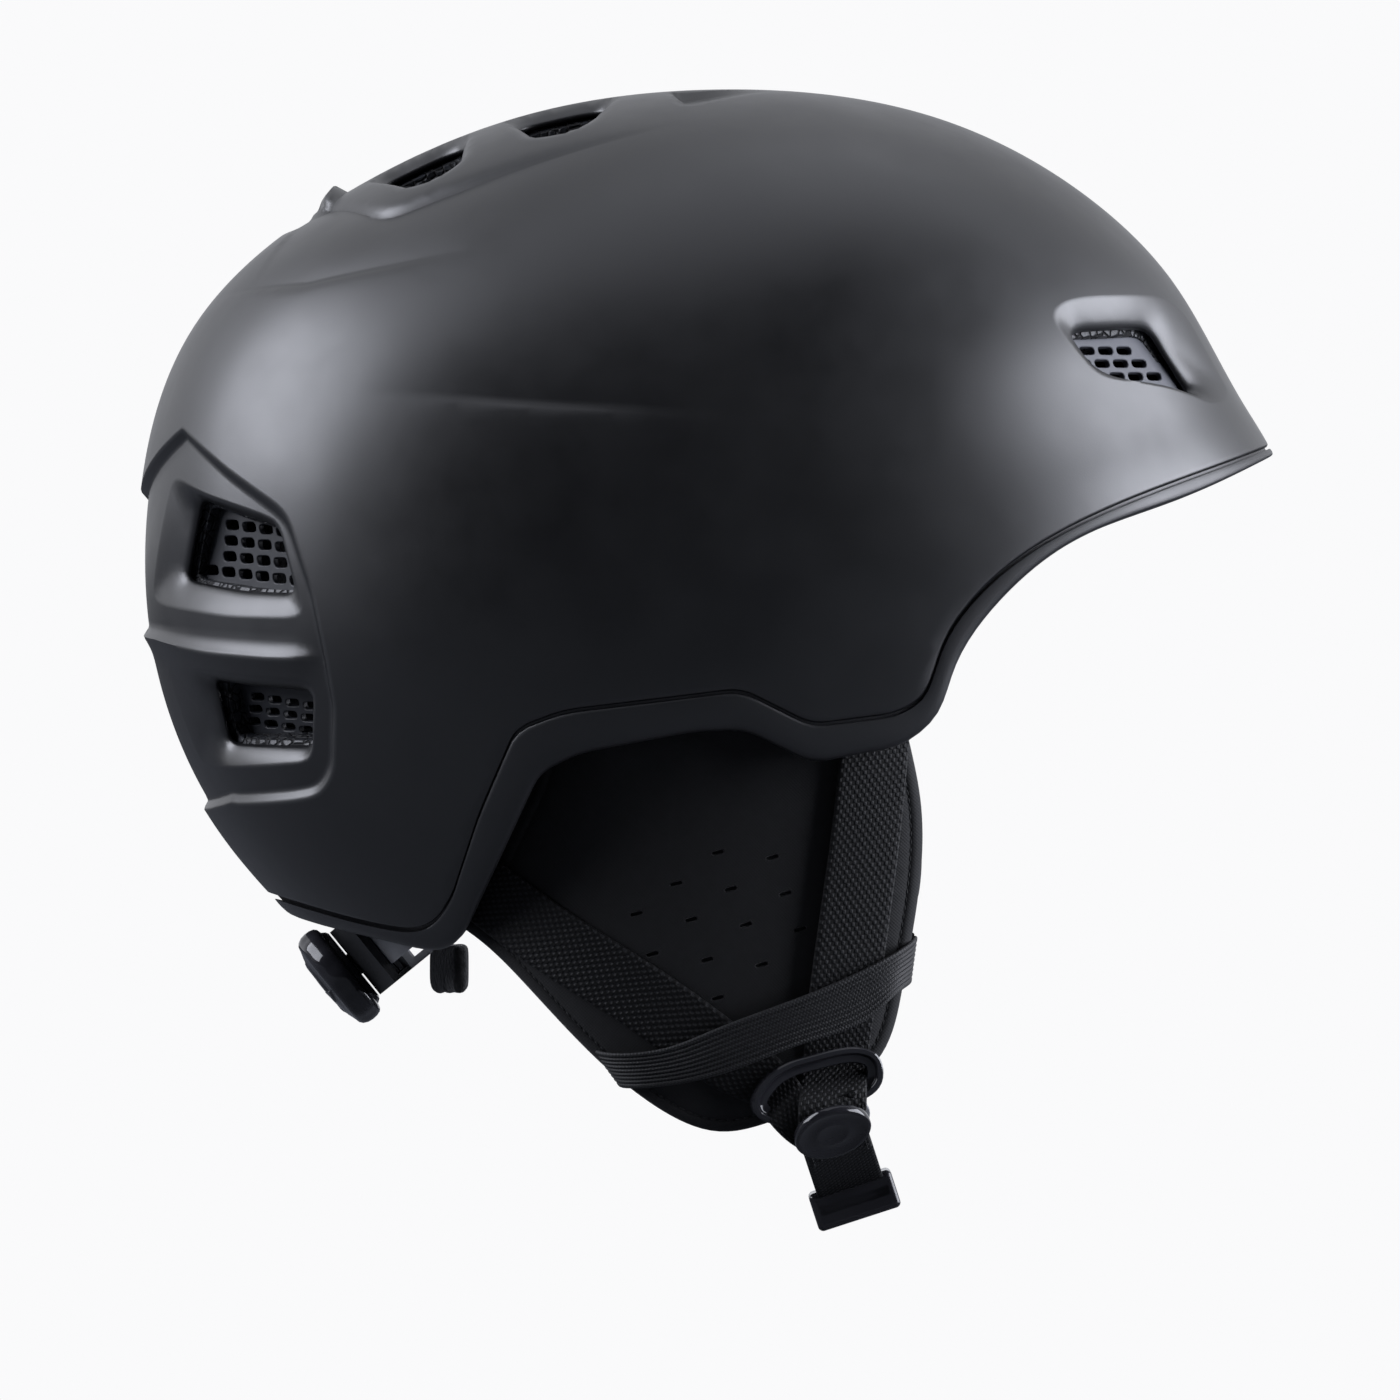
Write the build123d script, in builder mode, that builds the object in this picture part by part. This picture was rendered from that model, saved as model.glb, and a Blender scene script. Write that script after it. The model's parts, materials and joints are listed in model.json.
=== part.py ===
from build123d import *
from math import atan2, cos, degrees, hypot, pi, radians, sin
import os

os.makedirs("parts", exist_ok=True)

# Ski helmet, millimetres. +X is forward, +Y the wearer's left, +Z up.
# The origin is the centre of the head that wears it.

# ---------------------------------------------------------------- the outer form
# Side profile of the helmet, and the half width that it bulges to.
PROFILE = [
    (149.5, 15.5), (141.5, 29.5), (122.5, 62.0), (102.5, 81.8), (64.6, 102.2), (10.0, 110.0),
    (-41.0, 103.7), (-92.0, 81.0), (-111.0, 67.2), (-127.0, 49.0), (-140.5, 6.0), (-138.5, -38.0),
    (-121.5, -78.0), (-97.0, -106.0), (-55.0, -138.0), (-12.0, -150.0), (70.0, -133.0),
    (125.0, -85.0), (149.0, -30.0),
]
POLE_X, POLE_Z = -12.0, -18.0
HALF_WIDTH = 108.0
BULGE = 2.25
SLICES = [0.997, 0.985, 0.94, 0.86, 0.74, 0.58, 0.38, 0.19]

# Wall thicknesses, from the outside in.
SHELL_WALL = 2.4
GAP = 0.3
RIM_DEPTH = 4.5

# Lower edge of the rim trim and the seam above it, seen from the side, rear to front.
EDGE = [
    (-170, -80), (-120, -95), (-97, -102.5), (-74, -108), (-62, -109), (-56.5, -104), (-48, -86),
    (-38, -64.5), (-28, -59.5), (1, -54), (14, -53.5), (31, -62), (54, -57.5), (61, -52), (67, -38),
    (77, -22.5), (92, -9), (128, 6.5), (148, 16), (175, 30),
]
SEAM = [
    (-170, -76), (-120, -92.5), (-99, -98.8), (-76, -104.5), (-66, -103.5), (-60.5, -97), (-53.5, -76),
    (-44, -54), (-32, -49.5), (1, -45.5), (13, -44), (31, -53), (52, -50.3), (58, -47), (63.5, -34.5),
    (72, -21), (86, -9), (128, 10.5), (148, 18.2), (175, 31),
]
SKY = 140.0
SEAM_GAP = 0.6

# The head's hollow: an ellipsoid above the brow line and a straight well below it.
HEAD_X, HEAD_Z = -12.0, -10.0
HEAD_RADII = (106.0, 83.0, 93.0)
PAD_THICK = 6.0


def scaled_profile(inset: float, share: float) -> list:
    """Profile points about the pole, drawn in by `inset` and shrunk by `share`."""
    points = []
    for x, z in PROFILE:
        reach = hypot(x - POLE_X, z - POLE_Z)
        factor = (reach - inset) / reach * share
        points.append(((x - POLE_X) * factor, (z - POLE_Z) * factor))
    return points


def dome(inset: float) -> Part:
    """The whole rounded form, with its skin `inset` inside the outer surface."""
    stations = [-share for share in SLICES] + [0.0] + SLICES[::-1]
    with BuildPart() as form:
        for station in stations:
            share = (1 - abs(station) ** BULGE) ** (1 / BULGE)
            y = station * (HALF_WIDTH - inset)
            with BuildSketch(Plane((POLE_X, y, POLE_Z), x_dir=(1, 0, 0), z_dir=(0, -1, 0))):
                with BuildLine():
                    Spline(*scaled_profile(inset, share), periodic=True)
                make_face()
        loft()
    return form.part


def between(share: float, rise: float = 0.0) -> list:
    """A line between the rim's lower edge (0) and the seam (1), raised by `rise`."""
    return [
        (low[0] + (high[0] - low[0]) * share, low[1] + (high[1] - low[1]) * share + rise)
        for low, high in zip(EDGE, SEAM)
    ]


def above(share: float, rise: float = 0.0) -> Part:
    """Everything above that line, as a block right across the helmet."""
    line = between(share, rise)
    with BuildPart() as block:
        with BuildSketch(Plane.XZ):
            with BuildLine():
                Spline(*line)
                Polyline(line[-1], (line[-1][0], SKY), (line[0][0], SKY), line[0])
            make_face()
        extrude(amount=HALF_WIDTH + 10, both=True)
    return block.part


def head(grow: float) -> Part:
    """The hollow for the head, grown by `grow`; negative values stay inside it."""
    a, b, c = (radius + grow for radius in HEAD_RADII)
    with BuildPart() as space:
        add(scale(Solid.make_sphere(1), by=(a, b, c)).moved(Location((HEAD_X, 0, HEAD_Z))))
        with BuildSketch(Plane.XY.offset(HEAD_Z).shift_origin((HEAD_X, 0, HEAD_Z))):
            Ellipse(a, b)
        extrude(amount=-170)
    return space.part


# ---------------------------------------------------------------- vents
def tilted(centre: tuple, normal: tuple) -> Plane:
    """A plane on the form with its local x level and pointing forward."""
    level = Vector(0, 0, 1).cross(Vector(*normal)).normalized()
    return Plane(centre, x_dir=tuple(level), z_dir=normal)


VENT_ROUND = 4.0
GRILLE_DEPTH = 11.0
GRILLE_THICK = 1.6
GRILLE_GAP = 0.3
VENTS = {
    "front": (tilted((114.3, 57.2, 42.9), (0.679, 0.608, 0.411)),
              [(17.6, 6.6), (-18.1, 10.1), (-24.1, -9.0), (14.2, -5.0)]),
    "rear_upper": (tilted((-118.7, 67.8, -9.8), (-0.762, 0.648, 0.011)),
                   [(18.1, 15.7), (-13.1, 8.5), (-20.4, -9.1), (25.0, -7.2)]),
    "rear_lower": (tilted((-111.8, 65.8, -53.0), (-0.728, 0.617, -0.301)),
                   [(21.1, 10.4), (-20.0, 6.9), (-15.4, -6.9), (23.7, -6.5)]),
}
TOP_VENTS = [(-69.5, 23.0), (-32.5, 25.0)]
TOP_VENT_Y = 26.0
TOP_VENT_WIDTH = 30.0
TOP_VENT_TAPER = 3.0


def vent_face(corners: list, grow: float) -> Sketch:
    """The rounded outline of a vent, grown or shrunk."""
    with BuildSketch() as face:
        Polygon(*corners, align=None)
        fillet(face.vertices(), VENT_ROUND)
        offset(amount=grow)
    return face.sketch


def vent_tunnels(grow: float) -> Part:
    """Every vent on both sides, as a solid to cut out of a layer."""
    with BuildPart() as tunnels:
        for plane, corners in VENTS.values():
            with BuildSketch(plane):
                add(vent_face(corners, grow))
            extrude(amount=14)
            with BuildSketch(plane):
                add(vent_face(corners, grow))
            extrude(amount=-46)
        for x, length in TOP_VENTS:
            with BuildSketch(Plane.XY.offset(45)):
                with Locations((x, TOP_VENT_Y)):
                    RectangleRounded(length + 2 * grow, TOP_VENT_WIDTH + 2 * grow, 7)
            extrude(amount=75)
        mirror(about=Plane.XZ)
    return tunnels.part


outer = dome(0)
form_inside = dome(SHELL_WALL)
foam_outside = dome(SHELL_WALL + GAP)
open_vents = vent_tunnels(0)

with BuildPart() as outer_shell:
    add(outer)
    add(form_inside, mode=Mode.SUBTRACT)
    add(above(1, SEAM_GAP), mode=Mode.INTERSECT)
    add(open_vents, mode=Mode.SUBTRACT)

with BuildPart() as lower_trim:
    with BuildPart(mode=Mode.PRIVATE) as skirt:
        add(outer)
        add(form_inside, mode=Mode.SUBTRACT)
        add(above(0), mode=Mode.INTERSECT)
        add(above(1), mode=Mode.SUBTRACT)
    with BuildPart(mode=Mode.PRIVATE) as flange:
        add(outer)
        add(dome(RIM_DEPTH), mode=Mode.SUBTRACT)
        add(above(0), mode=Mode.INTERSECT)
        add(above(0.3), mode=Mode.SUBTRACT)
    add(skirt.part)
    add(flange.part)

# ---------------------------------------------------------------- ear pads: a curved layer cake
# Each pad bends round an upright axis that leans in by EAR_LEAN.
EAR_LEAN = radians(5.6)
EAR_X, EAR_TOP_Y, EAR_TOP_Z = 8.0, -93.5, -54.0
EAR_RADIUS = 106.0
COVER_THICK = 3.0
CUSHION_THICK = 11.0
WEBBING = 1.5
LAYER_GAP = 0.3
POCKET_ROOM = 4.4

EAR_FACE = Plane((0, EAR_TOP_Y, EAR_TOP_Z), x_dir=(1, 0, 0), z_dir=(0, -cos(EAR_LEAN), -sin(EAR_LEAN)))
EAR_AXIS = Plane(
    (EAR_X, EAR_TOP_Y + EAR_RADIUS * cos(EAR_LEAN), EAR_TOP_Z + EAR_RADIUS * sin(EAR_LEAN)),
    x_dir=(1, 0, 0),
    z_dir=(0, -sin(EAR_LEAN), cos(EAR_LEAN)),
)

COVER_TOP = [(55.4, -3), (50, 8), (-38, 8), (-44, -6), (-62, -50)]
COVER_LOW = [(-62, -50), (-54, -54.8), (-41, -66.5), (-26.6, -81.2), (-9, -95.5), (7.8, -102),
             (22, -99), (38, -92), (48, -84), (54, -66), (58.5, -19), (55.4, -3)]
CUSHION_TOP = [(57, -3), (50, 7), (-34, 7), (-46, -44)]
CUSHION_LOW = [(-46, -44), (-44, -62), (-26, -79), (-9, -93), (7.8, -99.5), (22, -97.5), (40, -91),
               (50, -82), (57.5, -58), (60, -28), (57, -3)]
FRONT_STRAP = [(39, 5), (36.5, -20), (33, -46), (30.4, -65), (28.9, -80.5), (45.2, -79.6), (49.1, -53.6),
               (52.1, -36), (54.4, -16), (56, 5)]
REAR_STRAP = [(-58, -28), (-45.7, -37), (-24.5, -50.8), (-4.9, -62.5), (10.7, -73.2), (20.5, -83.2),
              (13.8, -92), (-8.9, -79.6), (-34.5, -62.5), (-62, -40)]
KEEPER = [(-24, -82.2), (-8.9, -80.6), (4.9, -75.8), (24.5, -68.4), (44.2, -60.5), (55.4, -55.1),
          (53.1, -66.3), (44.2, -73.2), (27.6, -78.9), (14.8, -84), (-3.1, -88.6), (-16.6, -90.1)]


def ear_layer(outline: Sketch, inner: float, outer_radius: float) -> Part:
    """An outline on the ear's face, wrapped as a sheet between two radii of the ear's axis."""
    with BuildPart() as layer:
        with BuildSketch(EAR_AXIS):
            Circle(outer_radius)
            Circle(inner, mode=Mode.SUBTRACT)
        extrude(amount=120, both=True)
        with BuildSketch(EAR_FACE.offset(-48)):
            add(outline)
        extrude(amount=80, mode=Mode.INTERSECT)
    return layer.part


def soft_outline(low: list, top: list) -> Sketch:
    """An outline with a curved lower edge and a straight-sided top."""
    with BuildSketch() as face:
        with BuildLine():
            Spline(*low)
            Polyline(*top)
        make_face()
    return face.sketch


def plain_outline(points: list) -> Sketch:
    """An outline with straight sides."""
    with BuildSketch() as face:
        Polygon(*points, align=None)
    return face.sketch


with BuildPart() as ear_pocket:
    with BuildSketch(EAR_AXIS.offset(-60)):
        Circle(EAR_RADIUS + POCKET_ROOM)
        with Locations((-EAR_X, -EAR_RADIUS / 2)):
            Rectangle(126, EAR_RADIUS * 1.3, mode=Mode.INTERSECT)
    extrude(amount=70.5)
    mirror(about=Plane.XZ)

with BuildPart() as eps_liner:
    add(foam_outside)
    add(above(0.42), mode=Mode.INTERSECT)
    add(head(0), mode=Mode.SUBTRACT)
    add(vent_tunnels(-0.8), mode=Mode.SUBTRACT)
    add(ear_pocket.part, mode=Mode.SUBTRACT)

right_side = {}

cover_outline = soft_outline(COVER_LOW, COVER_TOP)
cushion_outline = soft_outline(CUSHION_LOW, CUSHION_TOP)
cover_inside = EAR_RADIUS - COVER_THICK
cushion_outside = cover_inside - LAYER_GAP

SLIT_ROWS = [(-22.5, 2, 7.0), (-30.5, 3, -3.5), (-38.3, 4, -13.5), (-48.5, 3, -9.5), (-59.5, 1, 7.0)]
SLIT_PITCH = 13.8
SLIT_TILT = 15.0

with BuildPart() as ear_cover:
    add(ear_layer(cover_outline, cover_inside, EAR_RADIUS))
    for row, count, start in SLIT_ROWS:
        with BuildSketch(EAR_FACE):
            with Locations(*[(start + SLIT_PITCH * k, row - 1.3 * k) for k in range(count)]):
                SlotOverall(3.4, 1.2, rotation=SLIT_TILT)
        extrude(amount=-20, mode=Mode.SUBTRACT)
right_side["ear_cover"] = ear_cover.part

with BuildPart() as ear_cushion:
    add(ear_layer(cushion_outline, cushion_outside - CUSHION_THICK, cushion_outside))
right_side["ear_cushion"] = ear_cushion.part

# ---------------------------------------------------------------- straps on the pad and their ring
rear_strap_inside = EAR_RADIUS + LAYER_GAP
front_strap_inside = rear_strap_inside + WEBBING + LAYER_GAP
keeper_inside = front_strap_inside + WEBBING + LAYER_GAP

RING_ANGLE = 12.0
RING_U = 31.0
RING_LIFT = 0.8
RING_BAR = 3.2
RING_LINE = [(-16, -94.5), (-9.5, -86.0), (9, -81.6), (15.6, -83.4), (15.6, -91.0), (-11, -98.5)]
ring_y = EAR_RADIUS * cos(radians(RING_ANGLE))
RING_FACE = Plane(
    EAR_AXIS.from_local_coords(Vector(RING_U - EAR_X, -ring_y, 0)),
    x_dir=EAR_AXIS.from_local_coords(Vector(cos(radians(RING_ANGLE)), sin(radians(RING_ANGLE)), 0))
    - EAR_AXIS.origin,
    z_dir=EAR_AXIS.from_local_coords(Vector(sin(radians(RING_ANGLE)), -cos(radians(RING_ANGLE)), 0))
    - EAR_AXIS.origin,
)


def ring_body(grow: float) -> Part:
    """The three-bar strap ring, or the space it needs when `grow` is more than nothing."""
    with BuildPart() as body:
        with BuildSketch(RING_FACE.offset(RING_LIFT - grow)) as face:
            Polygon(*RING_LINE, align=None)
            fillet(face.vertices(), 3.5)
            offset(amount=RING_BAR / 2 + grow)
            with BuildSketch(mode=Mode.SUBTRACT) as hole:
                Polygon(*RING_LINE, align=None)
                fillet(hole.vertices(), 3.5)
                offset(amount=-RING_BAR / 2 - grow)
        extrude(amount=RING_BAR + 2 * grow)
    return body.part


strap_ring = ring_body(0)
ring_space = ring_body(GAP)
right_side["strap_ring"] = strap_ring

with BuildPart() as rear_strap:
    add(ear_layer(plain_outline(REAR_STRAP), rear_strap_inside, rear_strap_inside + WEBBING))
    add(ring_space, mode=Mode.SUBTRACT)
right_side["rear_strap"] = rear_strap.part

with BuildPart() as front_strap:
    add(ear_layer(plain_outline(FRONT_STRAP), front_strap_inside, front_strap_inside + WEBBING))
    add(ring_space, mode=Mode.SUBTRACT)
right_side["front_strap"] = front_strap.part

with BuildPart() as strap_keeper:
    add(ear_layer(plain_outline(KEEPER), keeper_inside, keeper_inside + 1.0))
    add(ring_space, mode=Mode.SUBTRACT)
right_side["strap_keeper"] = strap_keeper.part

# ---------------------------------------------------------------- chin strap and buckle
CHIN_TILT = radians(18)
CHIN_FACE = Plane((42, 0, -173.5), x_dir=(0, 1, 0), z_dir=(cos(CHIN_TILT), 0, sin(CHIN_TILT)))
CHIN_WIDTH = 17.5
CHIN_LINE = [(-88.7, 28.2), (-88.6, 25.8), (-86.2, 22.2), (-80.5, 19.0), (-70, 13.9), (-60, 9.5), (-45, 4.2),
             (-31.4, 0.9)]
DISC_AT = (-80.5, 19.0)
DISC_SLOPE = 27.5
DISC_RADIUS = 10.0
DISC_THICK = 2.2

with BuildPart() as chin_strap:
    with BuildSketch(CHIN_FACE):
        with BuildLine():
            Spline(*CHIN_LINE)
        trace(line_width=WEBBING)
    extrude(amount=CHIN_WIDTH / 2, both=True)
    add(ring_space, mode=Mode.SUBTRACT)
right_side["chin_strap"] = chin_strap.part

disc_out = (-sin(radians(DISC_SLOPE)), -cos(radians(DISC_SLOPE)))
disc_centre = CHIN_FACE.from_local_coords(Vector(DISC_AT[0] + disc_out[0] * 1.1,
                                                 DISC_AT[1] + disc_out[1] * 1.1, 0))
disc_normal = CHIN_FACE.from_local_coords(Vector(disc_out[0], disc_out[1], 0)) - CHIN_FACE.origin
with BuildPart() as strap_disc:
    with BuildSketch(Plane(disc_centre, z_dir=disc_normal)):
        Circle(DISC_RADIUS)
    extrude(amount=DISC_THICK)
    fillet(strap_disc.faces().sort_by(Axis.Z)[0].edges(), 0.6)
right_side["strap_disc"] = strap_disc.part

with BuildPart() as strap_space:
    with BuildSketch(CHIN_FACE):
        with BuildLine():
            Spline(*CHIN_LINE)
        trace(line_width=WEBBING + 2 * GAP)
    extrude(amount=CHIN_WIDTH / 2 + GAP, both=True)

backing_centre = CHIN_FACE.from_local_coords(Vector(DISC_AT[0] - disc_out[0] * 1.5,
                                                    DISC_AT[1] - disc_out[1] * 1.5, 0))
with BuildPart() as disc_backing:
    with BuildSketch(Plane(backing_centre, z_dir=-disc_normal)):
        Circle(DISC_RADIUS)
        Circle(3.0, mode=Mode.SUBTRACT)
    extrude(amount=1.6)
    add(strap_space.part, mode=Mode.SUBTRACT)
    add(ring_space, mode=Mode.SUBTRACT)
right_side["disc_backing"] = disc_backing.part

# Buckle: local x runs along the strap, local y is its thickness, z its width.
SOCKET_BACK, SOCKET_MOUTH = -31.0, 2.0
BUCKLE_HALF, BUCKLE_THICK = 11.0, 10.0
POCKET_HALF, POCKET_THICK = 8.6, 5.8
PRONG_IN, PRONG_OUT, BARB_OUT = 5.2, 8.0, 10.9
PRONG_THICK = 5.0
WINDOW = (-19.5, -8.0)
PLUG_FACE, PLUG_BACK = 2.6, 24.0
PRONG_TRAVEL = 2.6


def block(x0: float, x1: float, thick: float, z0: float, z1: float) -> Part:
    """A straight block of the buckle between x0 and x1, and between widths z0 and z1."""
    with BuildPart() as piece:
        with BuildSketch(CHIN_FACE.offset(z0)):
            with Locations(((x0 + x1) / 2, 0)):
                Rectangle(x1 - x0, thick)
        extrude(amount=z1 - z0)
    return piece.part


with BuildPart() as buckle_socket:
    add(block(SOCKET_BACK, SOCKET_MOUTH, BUCKLE_THICK, -BUCKLE_HALF, BUCKLE_HALF))
    fillet(buckle_socket.edges(), 1.4)
    add(block(-24, SOCKET_MOUTH + 1, POCKET_THICK, -POCKET_HALF, POCKET_HALF), mode=Mode.SUBTRACT)
    add(block(WINDOW[0], WINDOW[1], POCKET_THICK, -15, 15), mode=Mode.SUBTRACT)
    add(block(-33, -29.5, 2.4, -9.2, 9.2), mode=Mode.SUBTRACT)

with BuildPart() as buckle_plug:
    add(block(PLUG_FACE, PLUG_BACK, BUCKLE_THICK, -BUCKLE_HALF, BUCKLE_HALF))
    fillet(buckle_plug.edges(), 1.4)
    add(block(PLUG_FACE - 1, PLUG_FACE + 2.8, POCKET_THICK, -8.4, 8.4), mode=Mode.SUBTRACT)
    add(block(-16, PLUG_FACE + 4, PRONG_THICK, -2.2, 2.2))
    add(block(PLUG_BACK - 2, PLUG_BACK + 2, 2.4, -9.2, 9.2), mode=Mode.SUBTRACT)

tabs = {}
for side, name in ((1, "front"), (-1, "rear")):
    with BuildPart() as prong:
        with BuildSketch(Plane(CHIN_FACE.origin - CHIN_FACE.y_dir * PRONG_THICK / 2, x_dir=CHIN_FACE.x_dir,
                               z_dir=CHIN_FACE.y_dir)):
            inside, outside, barb = -side * PRONG_IN, -side * PRONG_OUT, -side * BARB_OUT
            Polygon((-21, inside), (5, inside), (5, outside), (WINDOW[1] - 0.8, outside),
                    (WINDOW[1] - 0.8, barb), (-14, barb), (WINDOW[0] + 0.6, outside * 1.1),
                    (-21, outside), align=None)
        extrude(amount=PRONG_THICK)
    tabs[name] = prong.part

# ---------------------------------------------------------------- dial fit system
# Everything sits round the band's axis; local x runs out of the nape along the dial's axis.
TILT = atan2(0.631, 0.776)
DIAL_OUT = Vector(-cos(TILT), 0, -sin(TILT))
BAND_NORMAL = Vector(sin(TILT), 0, -cos(TILT))
BAND_CENTRE = Vector(-18.4, 0, -58.7)
BAND = Plane(BAND_CENTRE, x_dir=DIAL_OUT, z_dir=BAND_NORMAL)
BAND_RADIUS = 82.6
BAND_THICK = 1.2
BAND_WIDE, BAND_NARROW = 8.6, 6.0
BAND_TAIL, BAND_REACH = 18.0, 34.0

MODULE = 1.0
PINION_TEETH = 10
PITCH_RADIUS = MODULE * PINION_TEETH / 2
TOOTH_TIP, TOOTH_ROOT = 0.85, 1.1
SLOT_FREE = 6.5
RACK_SPAN = 16.0
KNOB_RADIUS, KNOB_THICK = 14.0, 8.5
KNOB_START = 88.5
GRIP_COUNT = 14
HOUSING_SPAN = 20.0
HOUSING_HALF = 10.2
JOURNAL = 3.2
RUNNING = 0.06


def sector(inner: float, outer_radius: float, start: float, end: float, low: float, high: float) -> Part:
    """A curved strip round the band's axis, between two angles and two heights."""
    with BuildPart() as strip:
        with BuildSketch(BAND.offset(low)):
            with BuildLine():
                CenterArc((0, 0), inner, start, end - start)
                CenterArc((0, 0), outer_radius, start, end - start)
                for angle in (start, end):
                    Line((inner * cos(radians(angle)), inner * sin(radians(angle))),
                         (outer_radius * cos(radians(angle)), outer_radius * sin(radians(angle))))
            make_face()
        extrude(amount=high - low)
    return strip.part


def radial_plane(radius: float, angle: float) -> Plane:
    """A plane at `radius` that faces outwards; its local y runs along the band, x down it."""
    away = DIAL_OUT * cos(radians(angle)) + Vector(0, sin(radians(angle)), 0)
    return Plane(BAND_CENTRE + away * radius, x_dir=BAND_NORMAL, z_dir=away)


def tooth(width: float, root: float, tip: float) -> None:
    """One straight-sided tooth that points along local x, drawn from root to tip."""
    half = pi * MODULE * width / 2
    Polygon((root, -half * 1.25), (tip, -half * 0.55), (tip, half * 0.55), (root, half * 1.25), align=None)


def fit_band(side: int, radius: float) -> Part:
    """A head band with a toothed slot; side 1 is the left band."""
    inner, outer_radius = radius - BAND_THICK / 2, radius + BAND_THICK / 2
    low_angle, high_angle = sorted((-side * BAND_TAIL, side * BAND_REACH))
    toothed = side * (PITCH_RADIUS + TOOTH_ROOT)
    free = -side * SLOT_FREE
    pitch_angle = degrees(pi * MODULE / BAND_RADIUS)
    count = int(RACK_SPAN / pitch_angle)
    with BuildPart() as band:
        add(sector(inner, outer_radius, low_angle, high_angle, -BAND_NARROW, BAND_NARROW))
        add(sector(inner, outer_radius, -BAND_TAIL, BAND_TAIL, -BAND_WIDE, BAND_WIDE))
        add(sector(inner - 1, outer_radius + 1, -RACK_SPAN, RACK_SPAN, *sorted((toothed, free))),
            mode=Mode.SUBTRACT)
        planes = [radial_plane(inner, (k + 0.5) * pitch_angle) for k in range(-count + 1, count)]
        with BuildSketch(*planes):
            tooth(0.40, side * (PITCH_RADIUS + TOOTH_ROOT + 0.2), side * (PITCH_RADIUS - TOOTH_TIP))
        extrude(amount=BAND_THICK)
    return band.part


band_left = fit_band(1, BAND_RADIUS - 0.8)
band_right = fit_band(-1, BAND_RADIUS + 0.8)

with BuildPart() as dial_pinion:
    with BuildSketch(radial_plane(BAND_RADIUS - 1.7, 0)):
        Circle(PITCH_RADIUS - TOOTH_ROOT)
        with PolarLocations(0, PINION_TEETH):
            tooth(0.40, PITCH_RADIUS - TOOTH_ROOT - 0.3, PITCH_RADIUS + TOOTH_TIP)
    extrude(amount=3.4)
    with BuildSketch(radial_plane(BAND_RADIUS + 1.7, 0)):
        Circle(JOURNAL)
    extrude(amount=KNOB_START + 5 - BAND_RADIUS - 1.7)
    with BuildSketch(radial_plane(BAND_RADIUS - 5.2, 0)):
        Circle(2.2)
    extrude(amount=3.5)

with BuildPart() as dial_knob:
    with BuildSketch(radial_plane(KNOB_START, 0)):
        Circle(KNOB_RADIUS)
        with PolarLocations(KNOB_RADIUS + 1.2, GRIP_COUNT):
            Circle(1.9, mode=Mode.SUBTRACT)
    extrude(amount=KNOB_THICK)
    chamfer(dial_knob.faces().sort_by(Axis((0, 0, 0), tuple(DIAL_OUT)))[-1].edges(), 1.0)
    with BuildSketch(radial_plane(KNOB_START - 0.1, 0)):
        Circle(JOURNAL + 0.05)
    extrude(amount=5.3, mode=Mode.SUBTRACT)

with BuildPart() as dial_housing:
    add(sector(BAND_RADIUS + 1.9, BAND_RADIUS + 4.0, -HOUSING_SPAN, HOUSING_SPAN, -HOUSING_HALF, HOUSING_HALF))
    add(sector(BAND_RADIUS - 1.7, BAND_RADIUS + 2.5, -HOUSING_SPAN, HOUSING_SPAN, BAND_WIDE + 0.4, HOUSING_HALF))
    add(sector(BAND_RADIUS - 1.7, BAND_RADIUS + 2.5, -HOUSING_SPAN, HOUSING_SPAN, -HOUSING_HALF,
               -BAND_WIDE - 0.4))
    with BuildSketch(radial_plane(BAND_RADIUS - 3, 0)):
        Circle(JOURNAL + RUNNING)
    extrude(amount=9, mode=Mode.SUBTRACT)

TONGUE_TOP, TONGUE_HALF = -44.0, 8.0
with BuildPart() as cradle_back:
    back_out = BAND_RADIUS - 2.0
    add(sector(back_out - 2.0, back_out, -HOUSING_SPAN, HOUSING_SPAN, -HOUSING_HALF, HOUSING_HALF))
    add(sector(back_out - 2.0, back_out, -5.6, 5.6, TONGUE_TOP, -HOUSING_HALF + 1))
    add(sector(72.5, back_out - 1.0, -18, 18, HOUSING_HALF - 2, HOUSING_HALF))
    with BuildSketch(radial_plane(BAND_RADIUS - 6, 0)):
        Circle(2.2 + RUNNING)
    extrude(amount=6, mode=Mode.SUBTRACT)

RAIL_TOP, RAIL_FOOT = -50.0, -20.5
with BuildPart() as height_rail:
    with BuildSketch(BAND.offset(RAIL_TOP)):
        with Locations((back_out - 1.2, 0)):
            Rectangle(7.4, 2 * TONGUE_HALF + 8)
    extrude(amount=RAIL_FOOT - RAIL_TOP)
    add(sector(back_out - 2.4, back_out + 0.4, -6.0, 6.0, RAIL_TOP + 2.5, RAIL_FOOT + 1), mode=Mode.SUBTRACT)
    with BuildSketch(radial_plane(back_out, 0)):
        with Locations((RAIL_FOOT - 7, 0)):
            Rectangle(20, 8)
    extrude(amount=6, mode=Mode.SUBTRACT)

PAD_ARC_X, PAD_ARC = 15.0, 76.0
with BuildPart() as nape_pad:
    with BuildSketch(Plane.XY.offset(-123.5)):
        with BuildLine():
            for radius in (PAD_ARC, PAD_ARC + 7):
                CenterArc((PAD_ARC_X, 0), radius, 156, 48)
            for angle in (156, 204):
                Line((PAD_ARC_X + PAD_ARC * cos(radians(angle)), PAD_ARC * sin(radians(angle))),
                     (PAD_ARC_X + (PAD_ARC + 7) * cos(radians(angle)), (PAD_ARC + 7) * sin(radians(angle))))
        make_face()
    extrude(amount=17)
    add(sector(72.2, back_out + 1, -30, 30, HOUSING_HALF - 2.3, HOUSING_HALF + 0.3), mode=Mode.SUBTRACT)
    fillet(nape_pad.edges().filter_by(Axis.Z), 2)

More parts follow.
